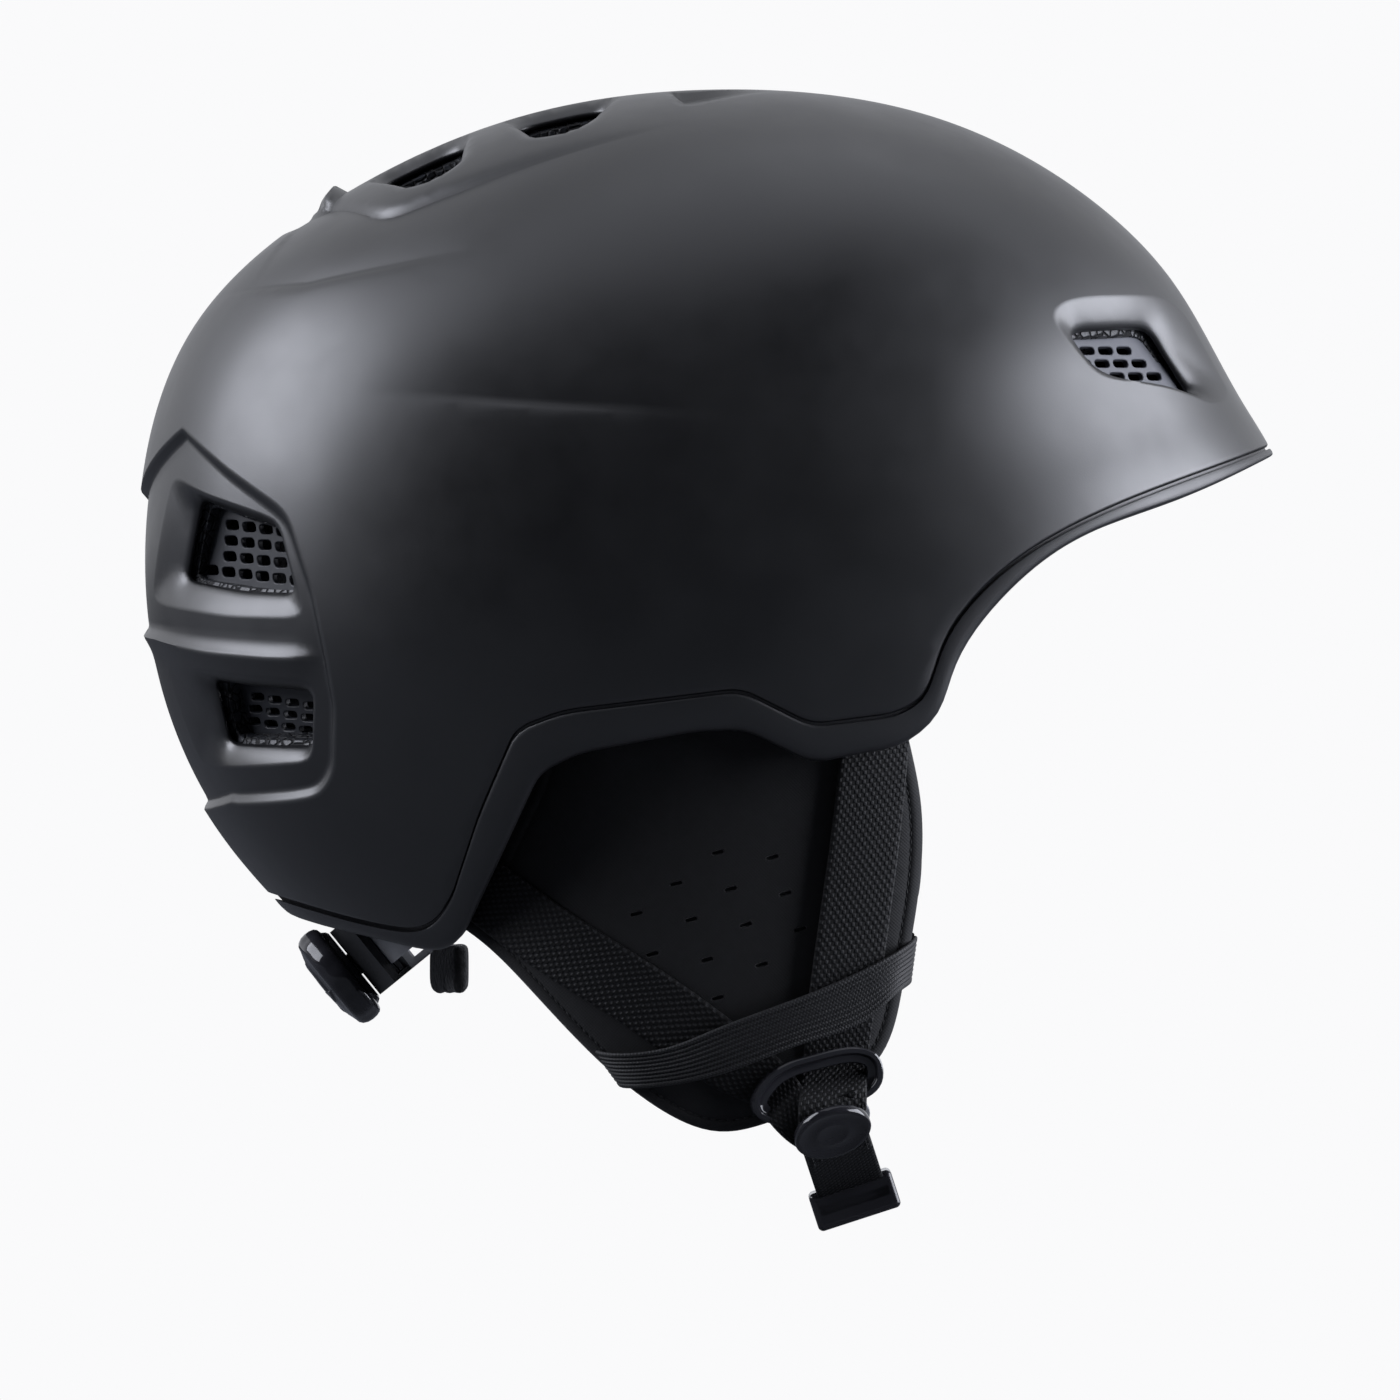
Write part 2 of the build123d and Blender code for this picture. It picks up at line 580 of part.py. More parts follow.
# ---------------------------------------------------------------- comfort pads inside the foam
def comfort(name_box: tuple) -> Part:
    """A stretch of the padding that lines the head's hollow, cut by a box (low corner, high corner)."""
    low, high = name_box
    with BuildPart() as pad:
        add(head(-GAP))
        add(head(-PAD_THICK), mode=Mode.SUBTRACT)
        with BuildPart(mode=Mode.INTERSECT):
            with Locations(((low[0] + high[0]) / 2, (low[1] + high[1]) / 2, (low[2] + high[2]) / 2)):
                Box(high[0] - low[0], high[1] - low[1], high[2] - low[2])
    return pad.part


PADS = {
    "brow_pad": ((48, -70, -5), (110, 70, 24)),
    "crown_pad": ((-60, -15, 40), (40, 15, 100)),
    "nape_liner": ((-125, -48, -52), (-86, 48, 10)),
    "side_pad_right": ((-66, -90, -32), (30, -40, 30)),
    "side_pad_left": ((-66, 40, -32), (30, 90, 30)),
}
lining = {name: comfort(limits) for name, limits in PADS.items()}

# ---------------------------------------------------------------- vent grilles
GRILLE_HOLE = (3.2, 2.1)
GRILLE_PITCH = (4.8, 3.7)
grilles = {}
for name, (plane, corners) in VENTS.items():
    with BuildPart() as grille:
        with BuildSketch(plane.offset(-GRILLE_DEPTH - GRILLE_THICK)):
            add(vent_face(corners, -0.8 - GRILLE_GAP))
        extrude(amount=GRILLE_THICK)
        with BuildSketch(plane.offset(-GRILLE_DEPTH - GRILLE_THICK - 0.5)):
            add(vent_face(corners, -4.5))
            with BuildSketch(mode=Mode.INTERSECT):
                with GridLocations(GRILLE_PITCH[0], GRILLE_PITCH[1], 11, 8):
                    Rectangle(GRILLE_HOLE[0], GRILLE_HOLE[1])
        extrude(amount=GRILLE_THICK + 1, mode=Mode.SUBTRACT)
    grilles[name] = grille.part

# ---------------------------------------------------------------- writing the parts
pieces = {
    "outer_shell": outer_shell.part, "lower_trim": lower_trim.part, "eps_liner": eps_liner.part,
    "buckle_socket": buckle_socket.part, "buckle_plug": buckle_plug.part,
    "release_tab_front": tabs["front"], "release_tab_rear": tabs["rear"],
    "band_left": band_left, "band_right": band_right, "dial_pinion": dial_pinion.part,
    "dial_knob": dial_knob.part, "dial_housing": dial_housing.part, "cradle_back": cradle_back.part,
    "height_rail": height_rail.part, "nape_pad": nape_pad.part, **lining,
}
for name, shape in right_side.items():
    pieces[f"{name}_right"] = shape
    pieces[f"{name}_left"] = mirror(shape, about=Plane.XZ)
for name, shape in grilles.items():
    pieces[f"{name}_grille_left"] = shape
    pieces[f"{name}_grille_right"] = mirror(shape, about=Plane.XZ)

for name, shape in pieces.items():
    shape.label = name
    export_step(shape, f"parts/{name}.step")
    print(name, round(shape.volume), len(shape.solids()))
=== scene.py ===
"""Ski helmet with ear pads, strap ring, side-release buckle and a dial-adjusted head band.

Sizes are in millimetres in the code and in metres in the meshes. +X is forward, +Y the wearer's
left and +Z up, and the origin is the centre of the head that wears it. Every visible piece is
built on one mathematical form, the dome, or on the curved face of an ear pad.
"""

from __future__ import annotations

import json
import logging
import math
from collections.abc import Callable, Iterable
from dataclasses import dataclass, field
from enum import Enum

import bmesh
import bpy
import numpy as np
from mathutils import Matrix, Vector
from mathutils.geometry import delaunay_2d_cdt

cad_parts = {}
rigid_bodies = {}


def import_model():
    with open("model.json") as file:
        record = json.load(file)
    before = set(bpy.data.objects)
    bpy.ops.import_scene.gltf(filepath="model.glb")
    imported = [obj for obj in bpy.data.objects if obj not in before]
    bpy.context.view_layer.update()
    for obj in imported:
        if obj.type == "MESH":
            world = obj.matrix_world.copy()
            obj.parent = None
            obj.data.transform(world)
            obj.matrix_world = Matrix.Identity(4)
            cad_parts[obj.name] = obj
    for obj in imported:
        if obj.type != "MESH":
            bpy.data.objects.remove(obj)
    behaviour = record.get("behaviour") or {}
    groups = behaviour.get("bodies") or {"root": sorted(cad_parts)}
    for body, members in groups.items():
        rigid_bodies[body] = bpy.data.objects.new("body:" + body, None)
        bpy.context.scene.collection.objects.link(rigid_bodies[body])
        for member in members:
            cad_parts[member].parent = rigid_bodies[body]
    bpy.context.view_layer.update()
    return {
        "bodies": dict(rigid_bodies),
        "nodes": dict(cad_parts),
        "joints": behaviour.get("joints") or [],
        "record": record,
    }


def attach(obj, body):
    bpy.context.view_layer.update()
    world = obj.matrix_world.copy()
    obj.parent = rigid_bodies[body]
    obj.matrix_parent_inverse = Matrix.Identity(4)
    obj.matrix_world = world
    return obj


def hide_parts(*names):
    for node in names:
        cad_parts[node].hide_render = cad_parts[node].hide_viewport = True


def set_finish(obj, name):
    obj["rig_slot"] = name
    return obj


LOG = logging.getLogger("helmet")
MM = 0.001
Links = dict[str | int, object]
FRAME: dict = {}


class Side(Enum):
    """The two sides of the helmet, by the sign of Y."""

    LEFT = 1
    RIGHT = -1

    @property
    def word(self) -> str:
        """The side's name as pieces carry it."""
        return self.name.lower()


# ---------------------------------------------------------------- small geometry tools
def smooth(low: float, high: float, value: np.ndarray) -> np.ndarray:
    """Ease from 0 at `low` to 1 at `high`."""
    t = np.clip((value - low) / (high - low), 0, 1)
    return t * t * (3 - 2 * t)


def lengths(points: np.ndarray) -> np.ndarray:
    """Distance along a line of points, from its first one."""
    return np.concatenate([[0], np.cumsum(np.linalg.norm(np.diff(points, axis=0), axis=1))])


class Spline:
    """A cubic spline through points, with knots at their distances along the line."""

    def __init__(self, points: Iterable, closed: bool = False, knots: np.ndarray | None = None) -> None:
        """Solve the spline.

        Args:
            points: the points it goes through.
            closed: whether it joins its own start smoothly.
            knots: the parameter at each point, or None for distances along the line.
        """
        p = np.array(list(points), float)
        if closed:
            p = np.vstack([p, p[:1]])
        t = lengths(p) if knots is None else knots
        n, h = len(p), np.diff(t)
        system, right = np.zeros((n, n)), np.zeros((n, p.shape[1]))
        slope = np.diff(p, axis=0) / h[:, None]
        for k in range(1, n - 1):
            system[k, k - 1 : k + 2] = h[k - 1], 2 * (h[k - 1] + h[k]), h[k]
            right[k] = 6 * (slope[k] - slope[k - 1])
        if closed:
            system[0, 0], system[0, -1] = 1, -1
            system[-1, :2] = 2 * h[0], h[0]
            system[-1, -2:] += h[-1], 2 * h[-1]
            right[-1] = 6 * (slope[0] - slope[-1])
        else:
            system[0, 0] = system[-1, -1] = 1
        self.points, self.knots, self.bend = p, t, np.linalg.solve(system, right)

    def at(self, t: np.ndarray) -> np.ndarray:
        """Points of the spline at parameters `t`."""
        t = np.clip(np.asarray(t, float), self.knots[0], self.knots[-1])
        k = np.clip(np.searchsorted(self.knots, t, side="right") - 1, 0, len(self.knots) - 2)
        h = (self.knots[k + 1] - self.knots[k])[:, None]
        a = (self.knots[k + 1] - t)[:, None] / h
        b = 1 - a
        curve = ((a**3 - a) * self.bend[k] + (b**3 - b) * self.bend[k + 1]) * h**2 / 6
        return a * self.points[k] + b * self.points[k + 1] + curve

    def sample(self, count: int) -> np.ndarray:
        """`count` points along the whole spline."""
        return self.at(np.linspace(self.knots[0], self.knots[-1], count))


def resample(points: np.ndarray, pitch: float, closed: bool = False) -> np.ndarray:
    """Points of a line at even distances of about `pitch`; a closed line doesn't repeat its first."""
    line = np.vstack([points, points[:1]]) if closed else points
    along = lengths(line)
    count = max(3, int(round(along[-1] / pitch)))
    stops = np.linspace(0, along[-1], count + 1)
    made = np.stack([np.interp(stops, along, line[:, k]) for k in range(line.shape[1])], axis=1)
    return made[:-1] if closed else made


def rounded(corners: Iterable, radius: float, steps: int = 6) -> np.ndarray:
    """A closed outline with its corners rounded.

    Args:
        corners: the outline's corners in order.
        radius: how far from a corner its rounding starts, at most.
        steps: how many points each rounding has.

    Returns:
        The outline's points.
    """
    p = np.array(list(corners), float)
    made = []
    for k in range(len(p)):
        before, here, after = p[k - 1], p[k], p[(k + 1) % len(p)]
        ends = []
        for other in (before, after):
            away = other - here
            size = np.linalg.norm(away)
            ends.append(here + away / size * min(radius, 0.46 * size))
        for t in np.linspace(0, 1, steps):
            made.append((1 - t) ** 2 * ends[0] + 2 * t * (1 - t) * here + t * t * ends[1])
    return np.array(made)


def nearest(points: np.ndarray, line: np.ndarray, closed: bool = False) -> tuple[np.ndarray, np.ndarray, np.ndarray]:
    """How points lie to a line.

    Args:
        points: the points, in two dimensions.
        line: the line's own points.
        closed: whether the line joins its start.

    Returns:
        The distance, the distance with a sign that is positive to the line's left, and the share
        of the line's length at the nearest place.
    """
    path = np.vstack([line, line[:1]]) if closed else line
    along = lengths(path)
    best = np.full(len(points), np.inf)
    signed, share = np.zeros(len(points)), np.zeros(len(points))
    for k in range(len(path) - 1):
        a, d = path[k], path[k + 1] - path[k]
        size = float(d @ d)
        if size < 1e-12:
            continue
        t = np.clip(((points - a) @ d) / size, 0, 1)
        gap = points - (a + t[:, None] * d)
        far = np.linalg.norm(gap, axis=1)
        nearer = far < best
        turn = np.sign(d[0] * gap[:, 1] - d[1] * gap[:, 0])
        best = np.where(nearer, far, best)
        signed = np.where(nearer, far * turn, signed)
        share = np.where(nearer, (along[k] + t * math.sqrt(size)) / along[-1], share)
    return best, signed, share


def inside(points: np.ndarray, outline: np.ndarray) -> np.ndarray:
    """Which points lie inside a closed outline."""
    hit = np.zeros(len(points), bool)
    x, y = points[:, 0], points[:, 1]
    for a, b in zip(outline, np.roll(outline, -1, axis=0)):
        if a[1] == b[1]:
            continue
        crosses = (a[1] > y) != (b[1] > y)
        hit ^= crosses & (x < (b[0] - a[0]) * (y - a[1]) / (b[1] - a[1]) + a[0])
    return hit


def widened(outline: np.ndarray, amount: float) -> np.ndarray:
    """A closed outline moved outwards by `amount`, or inwards where it is negative."""
    ahead = np.roll(outline, -1, axis=0) - np.roll(outline, 1, axis=0)
    ahead /= np.linalg.norm(ahead, axis=1, keepdims=True)
    normal = np.stack([ahead[:, 1], -ahead[:, 0]], axis=1)
    x, y = outline.T
    area = float(np.sum(x * np.roll(y, -1) - np.roll(x, -1) * y))
    return outline + normal * (amount if area > 0 else -amount)


@dataclass
class Fill:
    """A triangulated flat region with holes.

    Attributes:
        points: its points in two dimensions.
        faces: its triangles, anticlockwise.
        rims: its boundary edges, each with the region on its left.
    """

    points: np.ndarray
    faces: np.ndarray
    rims: np.ndarray


def aside(line: np.ndarray, step: float) -> np.ndarray:
    """An open line moved sideways, to its left where the step is positive."""
    run = np.gradient(line, axis=0)
    run /= np.linalg.norm(run, axis=1, keepdims=True)
    return line + step * np.stack([-run[:, 1], run[:, 0]], axis=1)


def fill_region(outer: np.ndarray, holes: list[np.ndarray], pitch: float, extra: list[np.ndarray] | None = None) -> Fill:
    """Triangulate a region with an even net of points.

    Args:
        outer: the region's outline.
        holes: the outlines left open in it.
        pitch: the distance between the net's points.
        extra: lines of points that the net has to hold, such as rings round the holes.

    Returns:
        The region's points and triangles.
    """
    low, high = outer.min(0), outer.max(0)
    rows = np.arange(low[1], high[1], pitch * 0.866)
    columns = np.arange(low[0], high[0], pitch)
    net = np.array([(x + (k % 2) * pitch / 2, y) for k, y in enumerate(rows) for x in columns])
    net = net[inside(net, outer)]
    held = [line[inside(line, outer)] for line in extra or []]
    for hole in holes:
        net = net[~inside(net, hole)]
        held = [line[~inside(line, hole)] for line in held]
    for loop in (outer, *holes):
        net = net[nearest(net, loop, True)[0] > 0.55 * pitch]
        held = [line[nearest(line, loop, True)[0] > 0.25] for line in held]
    for line in held:
        if len(line) > 1:
            net = net[nearest(net, line)[0] > 0.45 * pitch]
    points, edges = [], []
    for loop in (outer, *holes):
        base = len(points)
        points += list(loop)
        edges += [(base + k, base + (k + 1) % len(loop)) for k in range(len(loop))]
    for line in held:
        base = len(points)
        points += list(line)
        steps = np.hypot(*np.diff(line, axis=0).T) if len(line) > 1 else np.zeros(0)
        edges += [(base + k, base + k + 1) for k in np.flatnonzero(steps < 2.2 * np.median(steps))] if len(steps) else []
    points += list(net)
    made = delaunay_2d_cdt([Vector(p) for p in points], edges, [], 0, 1e-5, False)
    flat = np.array([tuple(v) for v in made[0]])
    faces = np.array([f for f in made[2] if len(f) == 3])
    middle = flat[faces].mean(axis=1)
    keep = inside(middle, outer)
    for hole in holes:
        keep &= ~inside(middle, hole)
    faces = faces[keep]
    a, b, c = (flat[faces[:, k]] for k in range(3))
    turn = (b[:, 0] - a[:, 0]) * (c[:, 1] - a[:, 1]) - (b[:, 1] - a[:, 1]) * (c[:, 0] - a[:, 0])
    faces = faces[np.abs(turn) > 1e-7]
    turn = turn[np.abs(turn) > 1e-7]
    faces[turn < 0] = faces[turn < 0][:, ::-1]
    used, faces = np.unique(faces, return_inverse=True)
    faces = faces.reshape(-1, 3)
    sides = np.vstack([faces[:, [0, 1]], faces[:, [1, 2]], faces[:, [2, 0]]])
    known = {(int(i), int(j)) for i, j in sides}
    rims = np.array([(i, j) for i, j in sides if (int(j), int(i)) not in known])
    return Fill(flat[used], faces, rims)


def walls(rims: np.ndarray, shift: int, rows: int = 1) -> list[tuple[int, int, int, int]]:
    """Side faces between the rims of a top surface and the same rims `shift` points further on."""
    made = []
    for k in range(rows):
        made += [(int(i) + shift * k, int(i) + shift * (k + 1), int(j) + shift * (k + 1), int(j) + shift * k) for i, j in rims]
    return made


# ---------------------------------------------------------------- materials
def linear(colour: str) -> tuple[float, float, float, float]:
    """An sRGB hex colour as linear red, green, blue and alpha."""
    parts = [int(colour.lstrip("#")[k : k + 2], 16) / 255 for k in (0, 2, 4)]
    return (*((p / 12.92 if p <= 0.04045 else ((p + 0.055) / 1.055) ** 2.4) for p in parts), 1.0)


def add_node(tree: bpy.types.NodeTree, kind: str, links: Links | None = None, **settings: object) -> bpy.types.Node:
    """Add one node to a tree.

    Args:
        tree: the node tree.
        kind: the node's type.
        links: by input socket, the output that feeds it or its constant value.
        settings: the node's own properties.

    Returns:
        The new node.
    """
    made = tree.nodes.new(kind)
    for key, value in settings.items():
        setattr(made, key, value)
    for key, value in (links or {}).items():
        socket = made.inputs[key]
        if isinstance(value, bpy.types.NodeSocket):
            tree.links.new(value, socket)
        else:
            socket.default_value = value
    return made


@dataclass(frozen=True)
class Finish:
    """A finish with its base values; each kind adds its own surface pattern.

    Attributes:
        name: what the finish is, and its material's name.
        dark: the darker of its two colours, as sRGB hex.
        light: the lighter one.
        roughness: its base roughness.
        sheen: how much fibre sheen it has.
        coat: how much clear gloss lies on it.
        ior: its index of refraction.
    """

    name: str
    dark: str
    light: str
    roughness: float
    sheen: float = 0.0
    coat: float = 0.0
    ior: float = 1.5

    def material(self) -> bpy.types.Material:
        """The material for this finish, made once."""
        known = bpy.data.materials.get(self.name)
        if known:
            return known
        made = bpy.data.materials.new(self.name)
        made.use_nodes = True
        tree = made.node_tree
        tree.nodes.clear()
        out = add_node(tree, "ShaderNodeOutputMaterial")
        shader = add_node(
            tree,
            "ShaderNodeBsdfPrincipled",
            {
                "Base Color": linear(self.dark),
                "Roughness": self.roughness,
                "IOR": self.ior,
                "Sheen Weight": self.sheen,
                "Sheen Roughness": 0.45,
                "Coat Weight": self.coat,
                "Coat Roughness": 0.2,
            },
        )
        tree.links.new(shader.outputs["BSDF"], out.inputs["Surface"])
        self.pattern(tree, shader)
        return made

    def pattern(self, tree: bpy.types.NodeTree, shader: bpy.types.Node) -> None:
        """Add the surface pattern; the plain finish has none."""

    def tint(self, tree: bpy.types.NodeTree, shader: bpy.types.Node, factor: bpy.types.NodeSocket) -> None:
        """Mix the base colour from dark to light by a factor."""
        mix = add_node(
            tree,
            "ShaderNodeMix",
            {"Factor": factor, 6: linear(self.dark), 7: linear(self.light)},
            data_type="RGBA",
        )
        tree.links.new(mix.outputs[2], shader.inputs["Base Color"])

    @staticmethod
    def place(tree: bpy.types.NodeTree, output: str = "Object", scale: tuple[float, float, float] = (1, 1, 1)) -> bpy.types.NodeSocket:
        """The piece's own coordinates, scaled.

        Args:
            tree: the material's tree.
            output: "Object" or "UV".
            scale: how many times each axis is multiplied.

        Returns:
            The socket with the coordinates.
        """
        where = add_node(tree, "ShaderNodeTexCoord").outputs[output]
        return add_node(tree, "ShaderNodeMapping", {"Vector": where, "Scale": scale}).outputs["Vector"]

    @staticmethod
    def maths(tree: bpy.types.NodeTree, operation: str, first: object, second: object = 0.0) -> bpy.types.NodeSocket:
        """One sum on two values."""
        return add_node(tree, "ShaderNodeMath", {0: first, 1: second}, operation=operation).outputs[0]


@dataclass(frozen=True)
class MouldedPlastic(Finish):
    """Injection-moulded plastic: a fine spark-eroded grain under its gloss, with faint flow marks.

    Attributes:
        grain: distance between the grain's bumps.
        depth: how strongly they show.
        mottle: how far roughness wanders over the piece.
    """

    grain: float = 0.5
    depth: float = 0.12
    mottle: float = 0.05

    def pattern(self, tree: bpy.types.NodeTree, shader: bpy.types.Node) -> None:
        """Fine grain as bump, and broad soft marks in colour and roughness."""
        where = self.place(tree)
        fine = add_node(tree, "ShaderNodeTexNoise", {"Vector": where, "Scale": 1 / (self.grain * MM), "Detail": 2.0})
        bump = add_node(tree, "ShaderNodeBump", {"Height": fine.outputs[0], "Strength": self.depth, "Distance": self.grain * MM * 0.25})
        tree.links.new(bump.outputs["Normal"], shader.inputs["Normal"])
        broad = add_node(tree, "ShaderNodeTexNoise", {"Vector": where, "Scale": 38.0, "Detail": 4.0, "Roughness": 0.6})
        self.tint(tree, shader, broad.outputs[0])
        rough = add_node(
            tree,
            "ShaderNodeMapRange",
            {"Value": broad.outputs[0], 1: 0.25, 2: 0.75, 3: self.roughness - self.mottle, 4: self.roughness + self.mottle},
        )
        tree.links.new(rough.outputs[0], shader.inputs["Roughness"])


@dataclass(frozen=True)
class BeadFoam(Finish):
    """Expanded polystyrene: black beads pressed together, each with a faint shiny skin.

    Attributes:
        bead: the size of a bead.
    """

    bead: float = 2.6

    def pattern(self, tree: bpy.types.NodeTree, shader: bpy.types.Node) -> None:
        """Rounded cells with dark seams between them."""
        where = self.place(tree)
        scale = 1 / (self.bead * MM)
        cells = add_node(tree, "ShaderNodeTexVoronoi", {"Vector": where, "Scale": scale}, feature="DISTANCE_TO_EDGE")
        each = add_node(tree, "ShaderNodeTexVoronoi", {"Vector": where, "Scale": scale})
        seam = add_node(tree, "ShaderNodeMapRange", {"Value": cells.outputs["Distance"], 1: 0.0, 2: 0.16}, interpolation_type="SMOOTHSTEP")
        skin = add_node(tree, "ShaderNodeTexNoise", {"Vector": where, "Scale": scale * 4, "Detail": 3.0})
        height = self.maths(tree, "ADD", seam.outputs[0], self.maths(tree, "MULTIPLY", skin.outputs[0], 0.25))
        bump = add_node(tree, "ShaderNodeBump", {"Height": height, "Strength": 0.9, "Distance": self.bead * MM * 0.22})
        tree.links.new(bump.outputs["Normal"], shader.inputs["Normal"])
        shade = self.maths(tree, "MULTIPLY", seam.outputs[0], self.maths(tree, "ADD", each.outputs["Color"], 0.15))
        self.tint(tree, shader, shade)
        rough = add_node(tree, "ShaderNodeMapRange", {"Value": seam.outputs[0], 3: 0.85, 4: self.roughness})
        tree.links.new(rough.outputs[0], shader.inputs["Roughness"])


@dataclass(frozen=True)
class KnitFabric(Finish):
    """Fine knitted face fabric over foam: tiny loops in rows, drawn as coarse as they need to show.

    Attributes:
        loop: distance between loops.
    """

    loop: float = 0.9

    def pattern(self, tree: bpy.types.NodeTree, shader: bpy.types.Node) -> None:
        """Rows of loops that follow the piece, with a soft mottle and painted shade between the loops."""
        where = self.place(tree, "UV", (1 / (self.loop * MM), 1 / (self.loop * MM), 1))
        split = add_node(tree, "ShaderNodeSeparateXYZ", {0: where})
        across = self.maths(tree, "SINE", self.maths(tree, "MULTIPLY", split.outputs[0], 2 * math.pi))
        along = self.maths(tree, "SINE", self.maths(tree, "MULTIPLY", split.outputs[1], 2 * math.pi))
        loops = self.maths(tree, "MULTIPLY_ADD", self.maths(tree, "MULTIPLY", across, along), 0.5)
        fuzz = add_node(tree, "ShaderNodeTexNoise", {"Vector": self.place(tree), "Scale": 2600.0, "Detail": 3.0})
        height = self.maths(tree, "ADD", loops, self.maths(tree, "MULTIPLY", fuzz.outputs[0], 0.8))
        bump = add_node(tree, "ShaderNodeBump", {"Height": height, "Strength": 0.45, "Distance": 0.12 * MM})
        tree.links.new(bump.outputs["Normal"], shader.inputs["Normal"])
        broad = add_node(tree, "ShaderNodeTexNoise", {"Vector": self.place(tree), "Scale": 260.0, "Detail": 4.0})
        # painted shade: the mottled colour is multiplied by the loops' height, so it darkens between the loops
        self.tint(tree, shader, self.maths(tree, "MULTIPLY", broad.outputs[0], self.maths(tree, "ADD", loops, 0.6)))


@dataclass(frozen=True)
class WovenWebbing(Finish):
    """Flat polyester webbing: glossy yarns that cross over and under each other, with a painted highlight on the raised
    yarns.

    Attributes:
        across: distance between yarns over the width.
        along: distance between yarns over the length.
        relief: height of the weave.
    """

    across: float = 1.9
    along: float = 2.3
    relief: float = 0.28

    def pattern(self, tree: bpy.types.NodeTree, shader: bpy.types.Node) -> None:
        """Bumps where a yarn comes to the surface, with a painted highlight at their tops and painted shade between
        them.
        """
        where = self.place(tree, "UV", (1 / (self.along * MM), 1 / (self.across * MM), 1))
        split = add_node(tree, "ShaderNodeSeparateXYZ", {0: where})
        a = self.maths(tree, "SINE", self.maths(tree, "MULTIPLY", split.outputs[0], 2 * math.pi))
        b = self.maths(tree, "SINE", self.maths(tree, "MULTIPLY", split.outputs[1], 2 * math.pi))
        weave = self.maths(tree, "MULTIPLY", a, b)
        floats = add_node(tree, "ShaderNodeMapRange", {"Value": weave, 1: -0.25, 2: 0.85}, interpolation_type="SMOOTHSTEP")
        thread = add_node(tree, "ShaderNodeTexNoise", {"Vector": self.place(tree, "UV", (260, 5200, 1)), "Scale": 1.0, "Detail": 2.0})
        height = self.maths(tree, "ADD", floats.outputs[0], self.maths(tree, "MULTIPLY", thread.outputs[0], 0.35))
        bump = add_node(tree, "ShaderNodeBump", {"Height": height, "Strength": 1.0, "Distance": self.relief * MM})
        tree.links.new(bump.outputs["Normal"], shader.inputs["Normal"])
        # painted highlight and shade: the colour goes light on the raised yarns and dark between them, by the weave's
        # height
        self.tint(tree, shader, floats.outputs[0])


@dataclass(frozen=True)
class Pile(Finish):
    """Brushed pile or foam-backed lining: short fibres with a soft bright rim.

    Attributes:
        tuft: distance between tufts.
        relief: how high they stand.
    """

    tuft: float = 0.9
    relief: float = 0.35

    def pattern(self, tree: bpy.types.NodeTree, shader: bpy.types.Node) -> None:
        """Fine uneven tufts and a soft mottle."""
        where = self.place(tree)
        fine = add_node(tree, "ShaderNodeTexNoise", {"Vector": where, "Scale": 1 / (self.tuft * MM), "Detail": 5.0, "Roughness": 0.7})
        tufts = add_node(tree, "ShaderNodeTexVoronoi", {"Vector": where, "Scale": 1 / (self.tuft * MM)})
        height = self.maths(tree, "SUBTRACT", fine.outputs[0], self.maths(tree, "MULTIPLY", tufts.outputs["Distance"], 0.6))
        bump = add_node(tree, "ShaderNodeBump", {"Height": height, "Strength": 0.8, "Distance": self.relief * MM})
        tree.links.new(bump.outputs["Normal"], shader.inputs["Normal"])
        self.tint(tree, shader, fine.outputs[0])


@dataclass(frozen=True)
class MilkyPlastic(Finish):
    """Unpigmented moulded plastic that light passes into, with faint flow lines."""

    def pattern(self, tree: bpy.types.NodeTree, shader: bpy.types.Node) -> None:
        """Light scattered inside, and slow waves of colour and gloss."""
        shader.inputs["Subsurface Weight"].default_value = 0.35
        shader.inputs["Subsurface Radius"].default_value = (0.002, 0.002, 0.002)
        where = self.place(tree)
        flow = add_node(tree, "ShaderNodeTexNoise", {"Vector": where, "Scale": 90.0, "Detail": 3.0, "Distortion": 1.5})
        self.tint(tree, shader, flow.outputs[0])
        bump = add_node(tree, "ShaderNodeBump", {"Height": flow.outputs[0], "Strength": 0.08, "Distance": 0.3 * MM})
        tree.links.new(bump.outputs["Normal"], shader.inputs["Normal"])


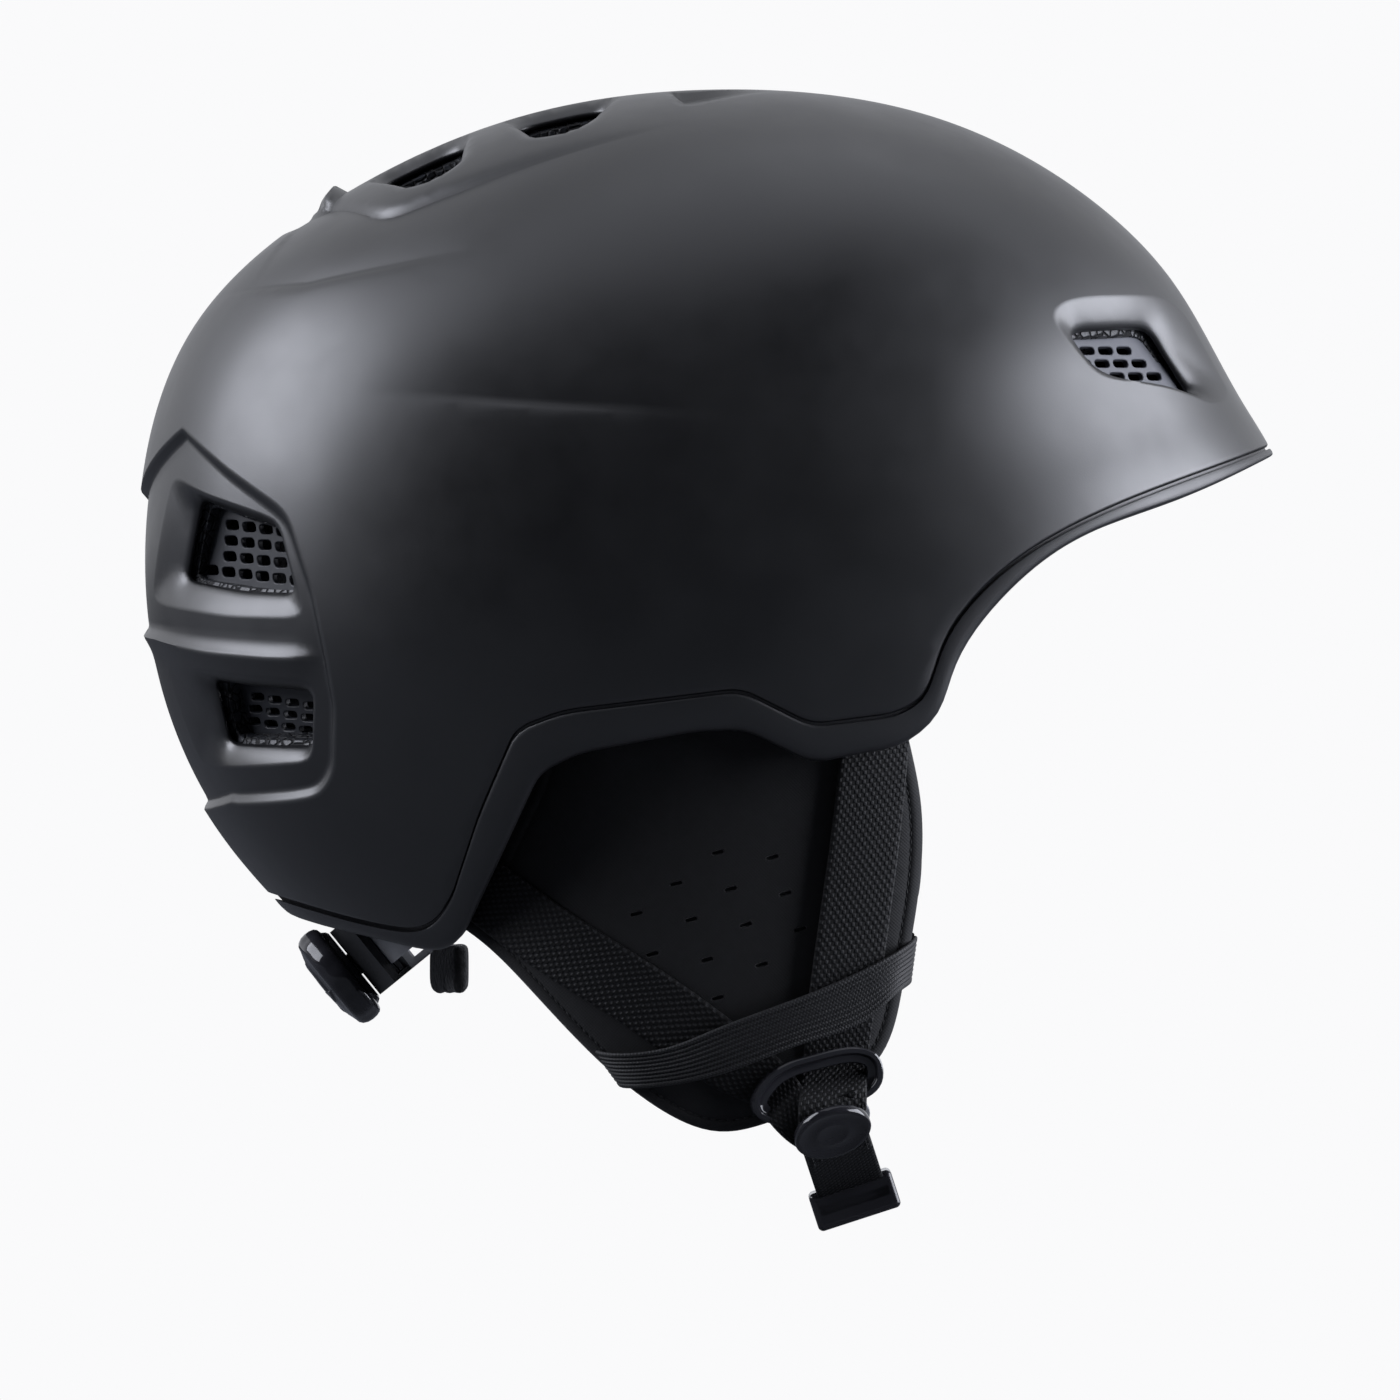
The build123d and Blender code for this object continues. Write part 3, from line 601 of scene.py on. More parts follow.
class Palette:
    """Every finish of the helmet, by the record's slot names."""

    # polycarbonate shell with a satin paint: soft broad highlights over near black
    shell = MouldedPlastic("satin_painted_polycarbonate", "#08090c", "#0b0c10", 0.4, ior=1.75, grain=0.45, depth=0.10)
    # moulded rim trim, a little duller than the shell
    rim = MouldedPlastic("moulded_abs_rim", "#0e0f13", "#131418", 0.46, ior=1.7, grain=0.5, depth=0.14)
    # black expanded polystyrene
    foam = BeadFoam("black_bead_foam", "#08080a", "#303237", 0.42)
    # grey polypropylene grilles, bare moulded surface
    light_grille = MouldedPlastic("grey_moulded_grille", "#4c4e55", "#595b62", 0.5, grain=0.4, depth=0.1)
    dark_grille = MouldedPlastic("charcoal_moulded_grille", "#202227", "#2a2c31", 0.5, grain=0.4, depth=0.1)
    # neoprene-like knit over the ear pads, matt black with a soft rim of light
    cover = KnitFabric("black_knit_over_foam", "#060608", "#101114", 0.82, sheen=0.1)
    # polyester webbing; its light colour is a painted highlight on the raised yarns
    webbing = WovenWebbing("black_polyester_webbing", "#020203", "#1a1b1e", 0.62, ior=1.36, relief=0.2)
    # elastic band: fine cross threads over moulded-in ribs, with the same painted highlight on the raised threads
    elastic = WovenWebbing("black_ribbed_elastic", "#060608", "#1f2024", 0.62, across=1.3, along=0.9, relief=0.08)
    # brushed lining of the cushions and comfort pads
    plush = Pile("black_brushed_lining", "#08080a", "#141518", 0.9, sheen=0.25)
    # napped fleece of the nape pad
    fleece = Pile("black_fleece", "#060607", "#121316", 0.95, sheen=0.3, tuft=1.6, relief=0.9)
    # polished acetal of the rings, discs and buckle
    acetal = MouldedPlastic("black_acetal", "#08090b", "#0c0d0f", 0.36, coat=0.15, grain=0.7, depth=0.06, mottle=0.04)
    # bare glass-filled nylon of the fit system's carriers
    nylon = MouldedPlastic("dark_glass_filled_nylon", "#101113", "#17181b", 0.48, grain=0.6, depth=0.2)
    # unpigmented polyamide of the bands and the dial's housing
    milky = MilkyPlastic("milky_polyamide", "#77787b", "#8f9093", 0.38)
    # bonded thread of the seams
    thread = MouldedPlastic("black_bonded_thread", "#0d0e10", "#1c1d20", 0.6, grain=0.3, depth=0.3)


# ---------------------------------------------------------------- making pieces
def make_piece(
    name: str,
    points: np.ndarray,
    faces: Iterable,
    finish: Finish,
    slot: str,
    mirror: bool = False,
    uv: np.ndarray | None = None,
    crease: float | None = 40.0,
) -> bpy.types.Object:
    """Make a mesh object from points in millimetres.

    Args:
        name: the piece's name.
        points: its points.
        faces: its faces.
        finish: its finish.
        slot: the record's slot that it takes its finish from.
        mirror: whether it is turned over to the other side of the middle plane.
        uv: a texture place in metres for each point, for patterns that follow the surface.
        crease: edges sharper than this many degrees are shaded sharp, or None for all smooth.

    Returns:
        The object.
    """
    p = np.array(points, float) * MM
    f = [tuple(int(i) for i in face) for face in faces]
    if mirror:
        p[:, 1] *= -1
        f = [face[::-1] for face in f]
    mesh = bpy.data.meshes.new(name)
    mesh.from_pydata([tuple(v) for v in p], [], f)
    mesh.validate()
    mesh.polygons.foreach_set("use_smooth", np.ones(len(mesh.polygons), bool))
    if crease is not None:
        mesh.set_sharp_from_angle(angle=math.radians(crease))
    if uv is not None:
        layer = mesh.uv_layers.new(name="surface")
        index = np.zeros(len(mesh.loops), np.int32)
        mesh.loops.foreach_get("vertex_index", index)
        layer.data.foreach_set("uv", (np.asarray(uv, float)[index] * MM).astype(np.float32).ravel())
    mesh.materials.append(finish.material())
    made = bpy.data.objects.new(name, mesh)
    bpy.context.scene.collection.objects.link(made)
    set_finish(made, slot)
    return made


def settle(piece: bpy.types.Object, body: str, *nodes: str) -> bpy.types.Object:
    """Let a piece ride on a body and stand for its CAD nodes, and report it."""
    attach(piece, body)
    if nodes:
        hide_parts(*nodes)
    LOG.info("%s on %s: %d faces", piece.name, body, len(piece.data.polygons))
    return piece


def mirrored_whole(points: np.ndarray, faces: np.ndarray, limit: float = 1e-4) -> tuple[np.ndarray, np.ndarray]:
    """Join a left half to its mirror image along the middle plane.

    Args:
        points: the half's points, with y of 0 on the middle plane.
        faces: its faces, all of one size.
        limit: how near to the middle plane a point counts as on it.

    Returns:
        The whole's points and faces.
    """
    middle = np.abs(points[:, 1]) < limit
    points = points.copy()
    points[middle, 1] = 0.0
    other = np.arange(len(points)) + len(points)
    other[middle] = np.arange(len(points))[middle]
    both = np.vstack([points, points * (1, -1, 1)])
    joined = np.vstack([faces, other[faces][:, ::-1]])
    used, joined = np.unique(joined, return_inverse=True)
    return both[used], joined.reshape(-1, faces.shape[1])


# ---------------------------------------------------------------- the dome
@dataclass
class Dome:
    """The rounded outer form, and a flat chart of its left half.

    A point of the chart is a direction from the side pole and a distance along the surface, so
    shapes keep their size on it.

    Attributes:
        profile: points of the side profile, as X and Z.
        pole: the side pole's X and Z.
        half_width: how far the form bulges to each side.
        bulge: the exponent of its cross-sections; 2 would be an ellipse.
    """

    profile: tuple = (
        (149.5, 15.5), (141.5, 29.5), (122.5, 62.0), (102.5, 81.8), (64.6, 102.2), (10.0, 110.0), (-41.0, 103.7),
        (-92.0, 81.0), (-111.0, 67.2), (-127.0, 49.0), (-140.5, 6.0), (-138.5, -38.0), (-121.5, -78.0),
        (-97.0, -106.0), (-55.0, -138.0), (-12.0, -150.0), (70.0, -133.0), (125.0, -85.0), (149.0, -30.0),
    )
    pole: tuple[float, float] = (-12.0, -18.0)
    half_width: float = 108.0
    bulge: float = 2.25

    def __post_init__(self) -> None:
        """Tabulate the profile's reach by its angle about the pole."""
        outline = Spline(self.profile, closed=True).sample(4000) - np.array(self.pole)
        angle = np.unwrap(np.arctan2(outline[:, 1], outline[:, 0]))
        order = np.argsort(angle)
        self._angle, self._reach = angle[order], np.hypot(*outline[order].T)

    def reach(self, angle: np.ndarray) -> np.ndarray:
        """Distance from the pole to the profile at an angle."""
        start = self._angle[0]
        return np.interp((angle - start) % (2 * math.pi) + start, self._angle, self._reach)

    def span(self, angle: np.ndarray) -> np.ndarray:
        """Distance over the surface from the side pole to the middle plane."""
        return math.pi / 2 * np.sqrt((self.half_width**2 + self.reach(angle) ** 2) / 2)

    def place(self, chart: np.ndarray, inset: float | np.ndarray = 0.0) -> np.ndarray:
        """Points of the surface, or of one `inset` inside it, at places on the chart."""
        angle = np.arctan2(chart[:, 1], chart[:, 0])
        lean = np.hypot(chart[:, 0], chart[:, 1]) / self.span(angle) * math.pi / 2
        out = np.abs(np.sin(lean)) ** (2 / self.bulge)
        across = np.sign(np.cos(lean)) * np.abs(np.cos(lean)) ** (2 / self.bulge)
        across = np.where(np.abs(across) < 1e-6, 0.0, across)
        r = (self.reach(angle) - inset) * out
        return np.stack(
            [self.pole[0] + r * np.cos(angle), across * (self.half_width - inset), self.pole[1] + r * np.sin(angle)], axis=1
        )

    def normal(self, chart: np.ndarray) -> np.ndarray:
        """Outward directions of the surface at places on the chart."""
        step = 0.4
        du = self.place(chart + (step, 0)) - self.place(chart - (step, 0))
        dv = self.place(chart + (0, step)) - self.place(chart - (0, step))
        n = np.cross(dv, du)
        n /= np.linalg.norm(n, axis=1, keepdims=True)
        flip = np.sum(n * (self.place(chart) - (self.pole[0], 0, self.pole[1])), axis=1) < 0
        n[flip] *= -1
        return n

    def from_side(self, points: Iterable, inset: float = 0.0) -> np.ndarray:
        """Chart places of points seen from the side, as X and Z; beyond the profile they go to the middle."""
        p = np.array(list(points), float) - np.array(self.pole)
        angle = np.arctan2(p[:, 1], p[:, 0])
        share = np.hypot(p[:, 0], p[:, 1]) / (self.reach(angle) - inset)
        lean = np.arcsin(np.clip(share, 0, 1) ** (self.bulge / 2))
        d = lean / (math.pi / 2) * self.span(angle)
        return np.stack([d * np.cos(angle), d * np.sin(angle)], axis=1)

    def on_middle(self, height: float, rear: bool = True, beyond: float = 1.0) -> np.ndarray:
        """The chart place on the middle plane at a height, or `beyond` times as far out."""
        angle = np.linspace(math.pi / 2, 3 * math.pi / 2, 2000) if rear else np.linspace(math.pi / 2, -math.pi / 2, 2000)
        z = self.pole[1] + self.reach(angle) * np.sin(angle)
        a = angle[np.argmin(np.abs(z - height))]
        d = float(self.span(np.array([a]))[0]) * beyond
        return np.array([d * math.cos(a), d * math.sin(a)])

    def from_top(self, points: Iterable) -> np.ndarray:
        """Chart places of points on the upper half seen from above, as X and Y."""
        made = []
        angle = np.linspace(0.02, math.pi - 0.02, 1500)
        for x, y in points:
            lean = math.acos((abs(y) / self.half_width) ** (self.bulge / 2))
            out = math.sin(lean) ** (2 / self.bulge)
            a = float(np.interp(-x, -(self.pole[0] + self.reach(angle) * out * np.cos(angle)), angle))
            d = lean / (math.pi / 2) * float(self.span(np.array([a]))[0])
            made.append((d * math.cos(a), d * math.sin(a)))
        return np.array(made)


@dataclass
class RimLines:
    """The rim trim's lower edge and the seam above it, from rear to front, as X and Z.

    Attributes:
        dome: the surface they lie on.
        ear: the first and last corner of the straight stretches round the ear.
        bend: half the length of a bend there.
        edge: the lower edge's corners.
        seam: the seam's corners.
    """

    dome: Dome
    ear: tuple[int, int] = (5, 13)
    bend: float = 3.6
    edge: tuple = (
        (-170, -80), (-120, -95), (-97, -102.5), (-74, -108), (-62, -109), (-56.5, -104), (-48, -86), (-38, -64.5),
        (-28, -59.5), (1, -54), (14, -53.5), (31, -62), (54, -57.5), (61, -52), (67, -38), (77, -22.5), (92, -9),
        (128, 6.5), (148, 16), (175, 30),
    )
    seam: tuple = (
        (-170, -76), (-120, -92.5), (-99, -98.8), (-76, -104.5), (-66, -103.5), (-60.5, -97), (-53.5, -76),
        (-44, -54), (-32, -49.5), (1, -45.5), (13, -44), (31, -53), (52, -50.3), (58, -47), (63.5, -34.5),
        (72, -21), (86, -9), (128, 10.5), (148, 18.2), (175, 31),
    )

    def __post_init__(self) -> None:
        """Solve both lines over the same knots, so that they keep step with each other."""
        low, high = np.array(self.edge, float), np.array(self.seam, float)
        knots = lengths((low + high) / 2)
        self._low, self._high = (self.bent(points, knots) for points in (low, high))
        self._t = np.linspace(knots[0], knots[-1], 60000)

    def bent(self, points: np.ndarray, knots: np.ndarray) -> Callable[[np.ndarray], np.ndarray]:
        """A line that is smooth at the brim and nape, and straight between small bends at the ear.

        Args:
            points: the line's points.
            knots: its parameter at each.

        Returns:
            A function from parameters to places.
        """
        curve = Spline(points, knots=knots)
        first, last = knots[self.ear[0]], knots[self.ear[1]]
        spread = np.linspace(-self.bend, self.bend, 9)

        def at(t: np.ndarray) -> np.ndarray:
            """Places at parameters."""
            near = np.asarray(t, float)[..., None] + spread
            straight = np.stack([np.interp(near, knots, points[:, k]).mean(-1) for k in (0, 1)], axis=-1)
            share = (smooth(first - 5, first + 5, t) * (1 - smooth(last - 6, last + 6, t)))[..., None]
            return curve.at(t) * (1 - share) + straight * share

        return at

    def side_line(self, share: float, t: np.ndarray, rise: float = 0.0) -> np.ndarray:
        """The line between the edge (0) and the seam (1), seen from the side, raised by `rise`."""
        return self._low(t) * (1 - share) + self._high(t) * share + (0, rise)

    def limits(self, share: float, rise: float, inset: float) -> tuple[float, float]:
        """The parameters at which that line meets the middle plane, at the rear and at the front."""
        p = self.side_line(share, self._t, rise) - np.array(self.dome.pole)
        angle = np.arctan2(p[:, 1], p[:, 0])
        within = np.hypot(p[:, 0], p[:, 1]) < self.dome.reach(angle) - inset
        found = self._t[within]
        return float(found[0]), float(found[-1])

    def chart_line(self, share: float, rise: float = 0.0, inset: float = 0.0, stops: np.ndarray | None = None, pitch: float = 2.0) -> np.ndarray:
        """The line on the dome's chart, from the middle at the rear to the middle at the front.

        Args:
            share: 0 for the edge, 1 for the seam.
            rise: how far the line is raised.
            inset: how deep under the surface it lies.
            stops: where its points are, as shares of its parameter, or None for even distances.
            pitch: the distance between points when there are no stops.

        Returns:
            The chart points.
        """
        start, end = self.limits(share, rise, inset)
        t = self._t[(self._t >= start) & (self._t <= end)] if stops is None else start + (end - start) * stops
        chart = self.dome.from_side(self.side_line(share, t, rise), inset)
        for k in (0, -1):
            angle = math.atan2(chart[k][1], chart[k][0])
            d = float(self.dome.span(np.array([angle]))[0])
            chart[k] = d * math.cos(angle), d * math.sin(angle)
        return resample(chart, pitch) if stops is None else chart

    def even_stops(self, pitch: float) -> np.ndarray:
        """Shares of the parameter that lie at even distances along the band's middle line."""
        start, end = self.limits(0.5, 0.0, 0.0)
        t = self._t[(self._t >= start) & (self._t <= end)]
        along = lengths(self.dome.from_side(self.side_line(0.5, t)))
        count = int(along[-1] / pitch)
        return (np.interp(np.linspace(0, along[-1], count), along, t) - start) / (end - start)


class VentName(Enum):
    """The side vents."""

    FRONT = "front"
    REAR_UPPER = "rear_upper"
    REAR_LOWER = "rear_lower"


@dataclass(frozen=True)
class VentShape:
    """A side vent.

    Attributes:
        opening: corners of the hole in the shell, seen from the side.
        funnel: corners of the bevelled hollow round it.
        depth: how deep the funnel is at the hole.
        centre: the vent's middle on the surface.
        normal: the direction of its tunnel.
        first: where its grille's first hole is, seen from the side.
        across: the step from one hole to the next in a row.
        down: the step from one row to the next.
        hole: length and height of a hole.
        deep: how far the grille lies below the surface.
    """

    opening: tuple
    funnel: tuple
    depth: float
    centre: tuple[float, float, float]
    normal: tuple[float, float, float]
    first: tuple[float, float]
    across: tuple[float, float]
    down: tuple[float, float]
    hole: tuple[float, float]
    deep: float = 14.5


VENTS = {
    VentName.FRONT: VentShape(
        ((99, 48.2), (101, 49.6), (119.9, 50.6), (130.9, 33.2), (122, 35.9), (110, 37), (104, 40.6), (100.6, 45.5)),
        ((91.2, 51.3), (95, 55.4), (103, 56.6), (121, 56.8), (126.4, 52.4), (138, 31.5), (134.5, 29), (122, 33.6), (104, 36.2), (99.2, 41)),
        4.0, (114.3, 57.2, 42.9), (0.679, 0.608, 0.411), (101.8, 46.1), (4.75, 0.05), (-0.9, -3.3), (3.7, 2.05), 9.5,
    ),
    VentName.REAR_UPPER: VentShape(
        ((-129.6, 5.6), (-118, 1.2), (-107.6, -1.8), (-103.3, -19.2), (-118, -18.7), (-133.9, -15.8)),
        ((-133.6, 12), (-127, 7.2), (-107.6, 0.4), (-105.2, -2), (-98.9, -23.8), (-101.5, -25.4), (-120, -25), (-139.6, -21.4)),
        3.6, (-118.7, 67.8, -9.8), (-0.762, 0.648, 0.011), (-125.1, -0.4), (4.35, -0.55), (-0.3, -4.0), (3.3, 2.5),
    ),
    VentName.REAR_LOWER: VentShape(
        ((-126, -42.2), (-117, -43.9), (-98.4, -45.2), (-98.7, -59.9), (-122, -59.6)),
        ((-135.9, -37), (-116, -40), (-96.1, -41.7), (-96.9, -61), (-99.6, -63), (-126, -64.4)),
        3.4, (-111.8, 65.8, -53.0), (-0.728, 0.617, -0.301), (-119, -43.7), (4.5, -0.75), (-0.5, -3.1), (3.4, 1.9),
    ),
}
TOP_VENTS = (
    ((-81, 10.5), (-58.5, 10.5), (-59.8, 40), (-70.8, 41)),
    ((-45.5, 10.5), (-20.3, 10.5), (-27.4, 38.5), (-39.3, 40)),
)


@dataclass
class Relief:
    """How far the shell's outer face dips below the dome, as funnels, panels, grooves and creases."""

    dome: Dome
    panel_depth: float = 2.2
    fin: tuple[float, float, float] = (93.2, 5.2, 13.0)
    panel_corners: tuple = (
        (-131.4, 25.2), (-118.1, 13), (-103.7, 2.6), (-101.4, -0.9), (-95.6, -18.2), (-92.2, -34.7), (-89.8, -48),
        (-90.2, -64.5), (-94, -70.6), (-102, -72), (-118.1, -72.8),
    )

    def __post_init__(self) -> None:
        """Lay the outlines on the dome's chart."""
        d = self.dome
        self.openings = {k: resample(d.from_side(rounded(v.opening, 3.2, 7)), 1.3, True) for k, v in VENTS.items()}
        self.funnels = {k: resample(d.from_side(rounded(v.funnel, 4.5, 6)), 2.0, True) for k, v in VENTS.items()}
        self.tops = [resample(d.from_top(rounded(v, 7.5, 7)), 1.3, True) for v in TOP_VENTS]
        side = resample(d.from_side(rounded(self.panel_corners, 3.0, 4))[3:-2], 1.6)
        self.panel = resample(np.vstack([d.on_middle(7.5, beyond=1.12), d.on_middle(7.5), side, d.on_middle(-74), d.on_middle(-74, beyond=1.12)]), 1.6)
        self.ridge = resample(np.vstack([d.on_middle(-29.3, beyond=1.05), d.from_side([(-136.9, -30.6), (-123.4, -33.9), (-108, -35.3), (-94, -35.6)])]), 2.0)
        self.creases = (
            (resample(d.from_side([(-121.4, 55.7), (-98, 60.3), (-77.9, 64.4), (-40.6, 70.3)]), 3), 0.95, 16.0),
            (resample(d.from_side([(-84, 32), (-40.6, 29.6), (-13.3, 28.1), (22, 25)]), 3), 0.9, 20.0),
        )
        self.shoulder = resample(
            d.from_side(Spline([(-108, 76), (-96.8, 79.2), (-87.4, 79.9), (-79.2, 77.9), (-72, 79.7), (-59, 84.6), (-42.7, 90.2), (-18.1, 97.1), (2, 101.6)]).sample(60)), 2.0
        )
        self.groove = resample(d.from_top(rounded(((-5.8, 11), (24, 11), (20, 17), (-2, 36)), 5, 5)), 2.0, True)

    def depth(self, chart: np.ndarray) -> np.ndarray:
        """How deep the outer face lies below the dome at places on the chart."""
        sunk = np.zeros(len(chart))
        _, panel, _ = nearest(chart, self.panel)
        into = np.where(inside(chart, np.vstack([self.panel])), np.abs(panel), -np.abs(panel))
        sunk += self.panel_depth * smooth(0.0, 2.6, into)
        away, signed, share = nearest(chart, self.ridge)
        slope = np.where(signed < 0, np.exp(-((away / 4.5) ** 1.5)), np.exp(-((away / 1.3) ** 2)))
        sunk -= 1.7 * slope * (1 - smooth(0.9, 1.0, share)) * smooth(0.0, 2.0, into)
        for name, shape in VENTS.items():
            funnel, hole = self.funnels[name], self.openings[name]
            to_funnel = nearest(chart, funnel, True)[0]
            to_hole = nearest(chart, hole, True)[0]
            in_hole = inside(chart, hole)
            t = np.where(in_hole, 1.0, to_funnel / np.maximum(to_funnel + to_hole, 1e-6))
            sunk += shape.depth * t**1.3 * (inside(chart, funnel) | in_hole)
        for hole in self.tops:
            away = np.where(inside(chart, hole), 0.0, nearest(chart, hole, True)[0])
            sunk += 2.3 * (1 - smooth(0, 5.5, away)) ** 1.4
        for line, height, width in self.creases:
            _, signed, share = nearest(chart, line)
            fade = smooth(0.0, 0.4, share) * (1 - smooth(0.5, 1.0, share))
            sunk += height * fade * np.where(signed < 0, np.exp(signed / 1.4), np.exp(-signed / width)) * (share > 0) * (share < 1)
        _, signed, share = nearest(chart, self.shoulder)
        fade = smooth(0.0, 0.06, share) * (1 - smooth(0.5, 1.0, share))
        sunk += 1.7 * fade * np.where(signed < 0, np.exp(signed / 14.0), np.exp(-signed / 1.6)) * (share > 0) * (share < 1)
        into = np.where(inside(chart, self.groove), nearest(chart, self.groove, True)[0], 0.0)
        top = self.dome.place(chart)
        sunk += 2.6 * smooth(0, 3.5, into) * (1 - smooth(-4, 24, top[:, 0]))
        tail = np.hypot((top[:, 0] + self.fin[0]) / self.fin[1], top[:, 1] / self.fin[2])
        sunk -= 3.6 * (1 - smooth(0.75, 1.05, tail)) * np.clip(0.55 + (top[:, 0] + self.fin[0]) / 11.0, 0, 1) * (top[:, 2] > 40)
        return sunk

    def fin_rings(self) -> list[np.ndarray]:
        """Lines round the tail fin's foot and top."""
        made = []
        for grow in (0.72, 0.9, 1.06):
            x = -self.fin[0] + self.fin[1] * grow * np.cos(np.linspace(0.08, math.pi - 0.08, 22))
            y = self.fin[2] * grow * np.sin(np.linspace(0.08, math.pi - 0.08, 22))
            made.append(self.dome.from_top(np.stack([x, y], axis=1)))
        return made

    def rings(self, distances: Iterable[float]) -> list[np.ndarray]:
        """Lines round every opening at these distances, for the net of points to hold."""
        return [widened(hole, gap) for gap in distances for hole in (*self.openings.values(), *self.tops)]


@dataclass
class Shell:
    """The hard outer shell."""

    dome: Dome
    lines: RimLines
    relief: Relief
    wall: float = 2.0
    seam_gap: float = 0.75
    pitch: float = 2.5

    def build(self) -> bpy.types.Object:
        """Make the shell with its vents, panel and rolled edges."""
        seam = self.lines.chart_line(1.0, rise=self.seam_gap, pitch=1.3)
        first, last = (math.atan2(seam[k][1], seam[k][0]) for k in (-1, 0))
        sweep = np.linspace(first, last + (2 * math.pi if last < first else 0), 900)
        d = self.dome.span(sweep)
        top = resample(np.stack([d * np.cos(sweep), d * np.sin(sweep)], axis=1), self.pitch)[1:-1]
        outer = np.vstack([seam, top])
        holes = [*self.relief.openings.values(), *self.relief.tops]
        extra = self.relief.rings((0.5, 1.1, 2.1)) + [
            *(self.lines.chart_line(1.0, rise=self.seam_gap + step, pitch=1.3)[2:-2] for step in (0.45, 0.95, 1.6)),
            *(aside(self.relief.ridge, step)[1:] for step in (-2.6, -1.2, 0.0, 0.7, 1.5)),
            *(widened(self.relief.panel, -step) for step in (-0.9, 0.0, 0.9, 1.8, 2.7, 3.6)),
            *(widened(f, step) for f in self.relief.funnels.values() for step in (0.6, 0.0, -0.8)),
            *(aside(self.relief.shoulder, step) for step in (-1.2, 0.0, 1.2)),
            *(aside(c[0], step) for c in self.relief.creases for step in (-1.2, 0.0, 1.2)),
            *self.relief.fin_rings(),
        ]
        net = fill_region(outer, holes, self.pitch, extra)
        on_middle = np.abs(np.hypot(*net.points.T) - self.dome.span(np.arctan2(net.points[:, 1], net.points[:, 0]))) < 0.02
        rolled = self.edge_roll(net.points, seam)
        points = self.dome.place(net.points) - self.dome.normal(net.points) * (self.relief.depth(net.points) + rolled)[:, None]
        points[on_middle, 1] = 0.0
        whole, faces = mirrored_whole(points, net.faces)
        made = make_piece("outer_shell_form", whole, self.outward(whole, faces), Palette.shell, "shell_plastic", crease=48)
        thick = made.modifiers.new("wall", "SOLIDIFY")
        thick.thickness, thick.offset = self.wall * MM, -1
        thick.use_even_offset = False
        return settle(made, "helmet", "outer_shell")

    def edge_roll(self, chart: np.ndarray, seam: np.ndarray) -> np.ndarray:
        """How far the face rolls in along the seam and round the openings."""
        roll = np.zeros(len(chart))
        for line, radius, closed in [(seam, 1.1, False)] + [(h, 1.8, True) for h in (*self.relief.openings.values(), *self.relief.tops)]:
            away = nearest(chart, line, closed)[0]
            t = np.clip(1 - away / radius, 0, 1)
            roll += radius * 0.7 * (1 - np.sqrt(1 - t * t * 0.98))
        return roll

    @staticmethod
    def outward(points: np.ndarray, faces: np.ndarray) -> np.ndarray:
        """Faces turned so that most point away from the middle."""
        a, b, c = (points[faces[:, k]] for k in range(3))
        n = np.cross(b - a, c - a)
        out = np.sum(n * ((a + b + c) / 3 - (-12, 0, -18)), axis=1)
        return faces if np.sum(out) > 0 else faces[:, ::-1]


@dataclass
class Trim:
    """The rim trim that follows the shell's lower edge, with a rounded bottom and an inner flange."""

    dome: Dome
    lines: RimLines
    pitch: float = 2.6
    section: tuple = (
        (1.0, 2.4, 1.7), (1.0, 1.2, 1.7), (1.0, 1.2, 0.0), (1.0, 0.3), (0.98, 0.08), (0.9, 0.0), (0.7, -0.1), (0.45, -0.12), (0.2, 0.0), (0.09, 0.28), (0.02, 0.9),
        (0.0, 1.8), (0.0, 3.4), (0.03, 4.6), (0.1, 5.2), (0.3, 5.3), (0.34, 4.6), (0.36, 2.9), (0.7, 2.7), (1.0, 2.7),
    )

    def build(self) -> bpy.types.Object:
        """Sweep the section round the rim: share of the band's height, inset and, for its hidden lip, rise."""
        stops = self.lines.even_stops(self.pitch)
        rows = []
        for share, inset, *lip in self.section:
            chart = self.lines.chart_line(share, rise=sum(lip), inset=inset, stops=stops)
            points = self.dome.place(chart, inset)
            points[[0, -1], 1] = 0.0
            rows.append(np.vstack([points, (points * (1, -1, 1))[-2:0:-1]]))
        grid = np.array(rows)
        k, n = grid.shape[:2]
        faces = [(i * n + j, i * n + (j + 1) % n, (i + 1) % k * n + (j + 1) % n, (i + 1) % k * n + j) for i in range(k) for j in range(n)]
        made = make_piece("rim_trim", grid.reshape(-1, 3), faces, Palette.rim, "rim_plastic", crease=60)
        return settle(made, "helmet", "lower_trim")


@dataclass
class HeadHollow:
    """The hollow that holds the head: an ellipsoid over a straight well."""

    centre: tuple[float, float] = (-12.0, -10.0)
    radii: tuple[float, float, float] = (106.0, 83.0, 93.0)

    def level(self, points: np.ndarray, grow: float = 0.0) -> np.ndarray:
        """Below 1 inside the hollow, above 1 outside it."""
        a, b, c = (r + grow for r in self.radii)
        z = np.maximum(points[..., 2] - self.centre[1], 0)
        return ((points[..., 0] - self.centre[0]) / a) ** 2 + (points[..., 1] / b) ** 2 + (z / c) ** 2


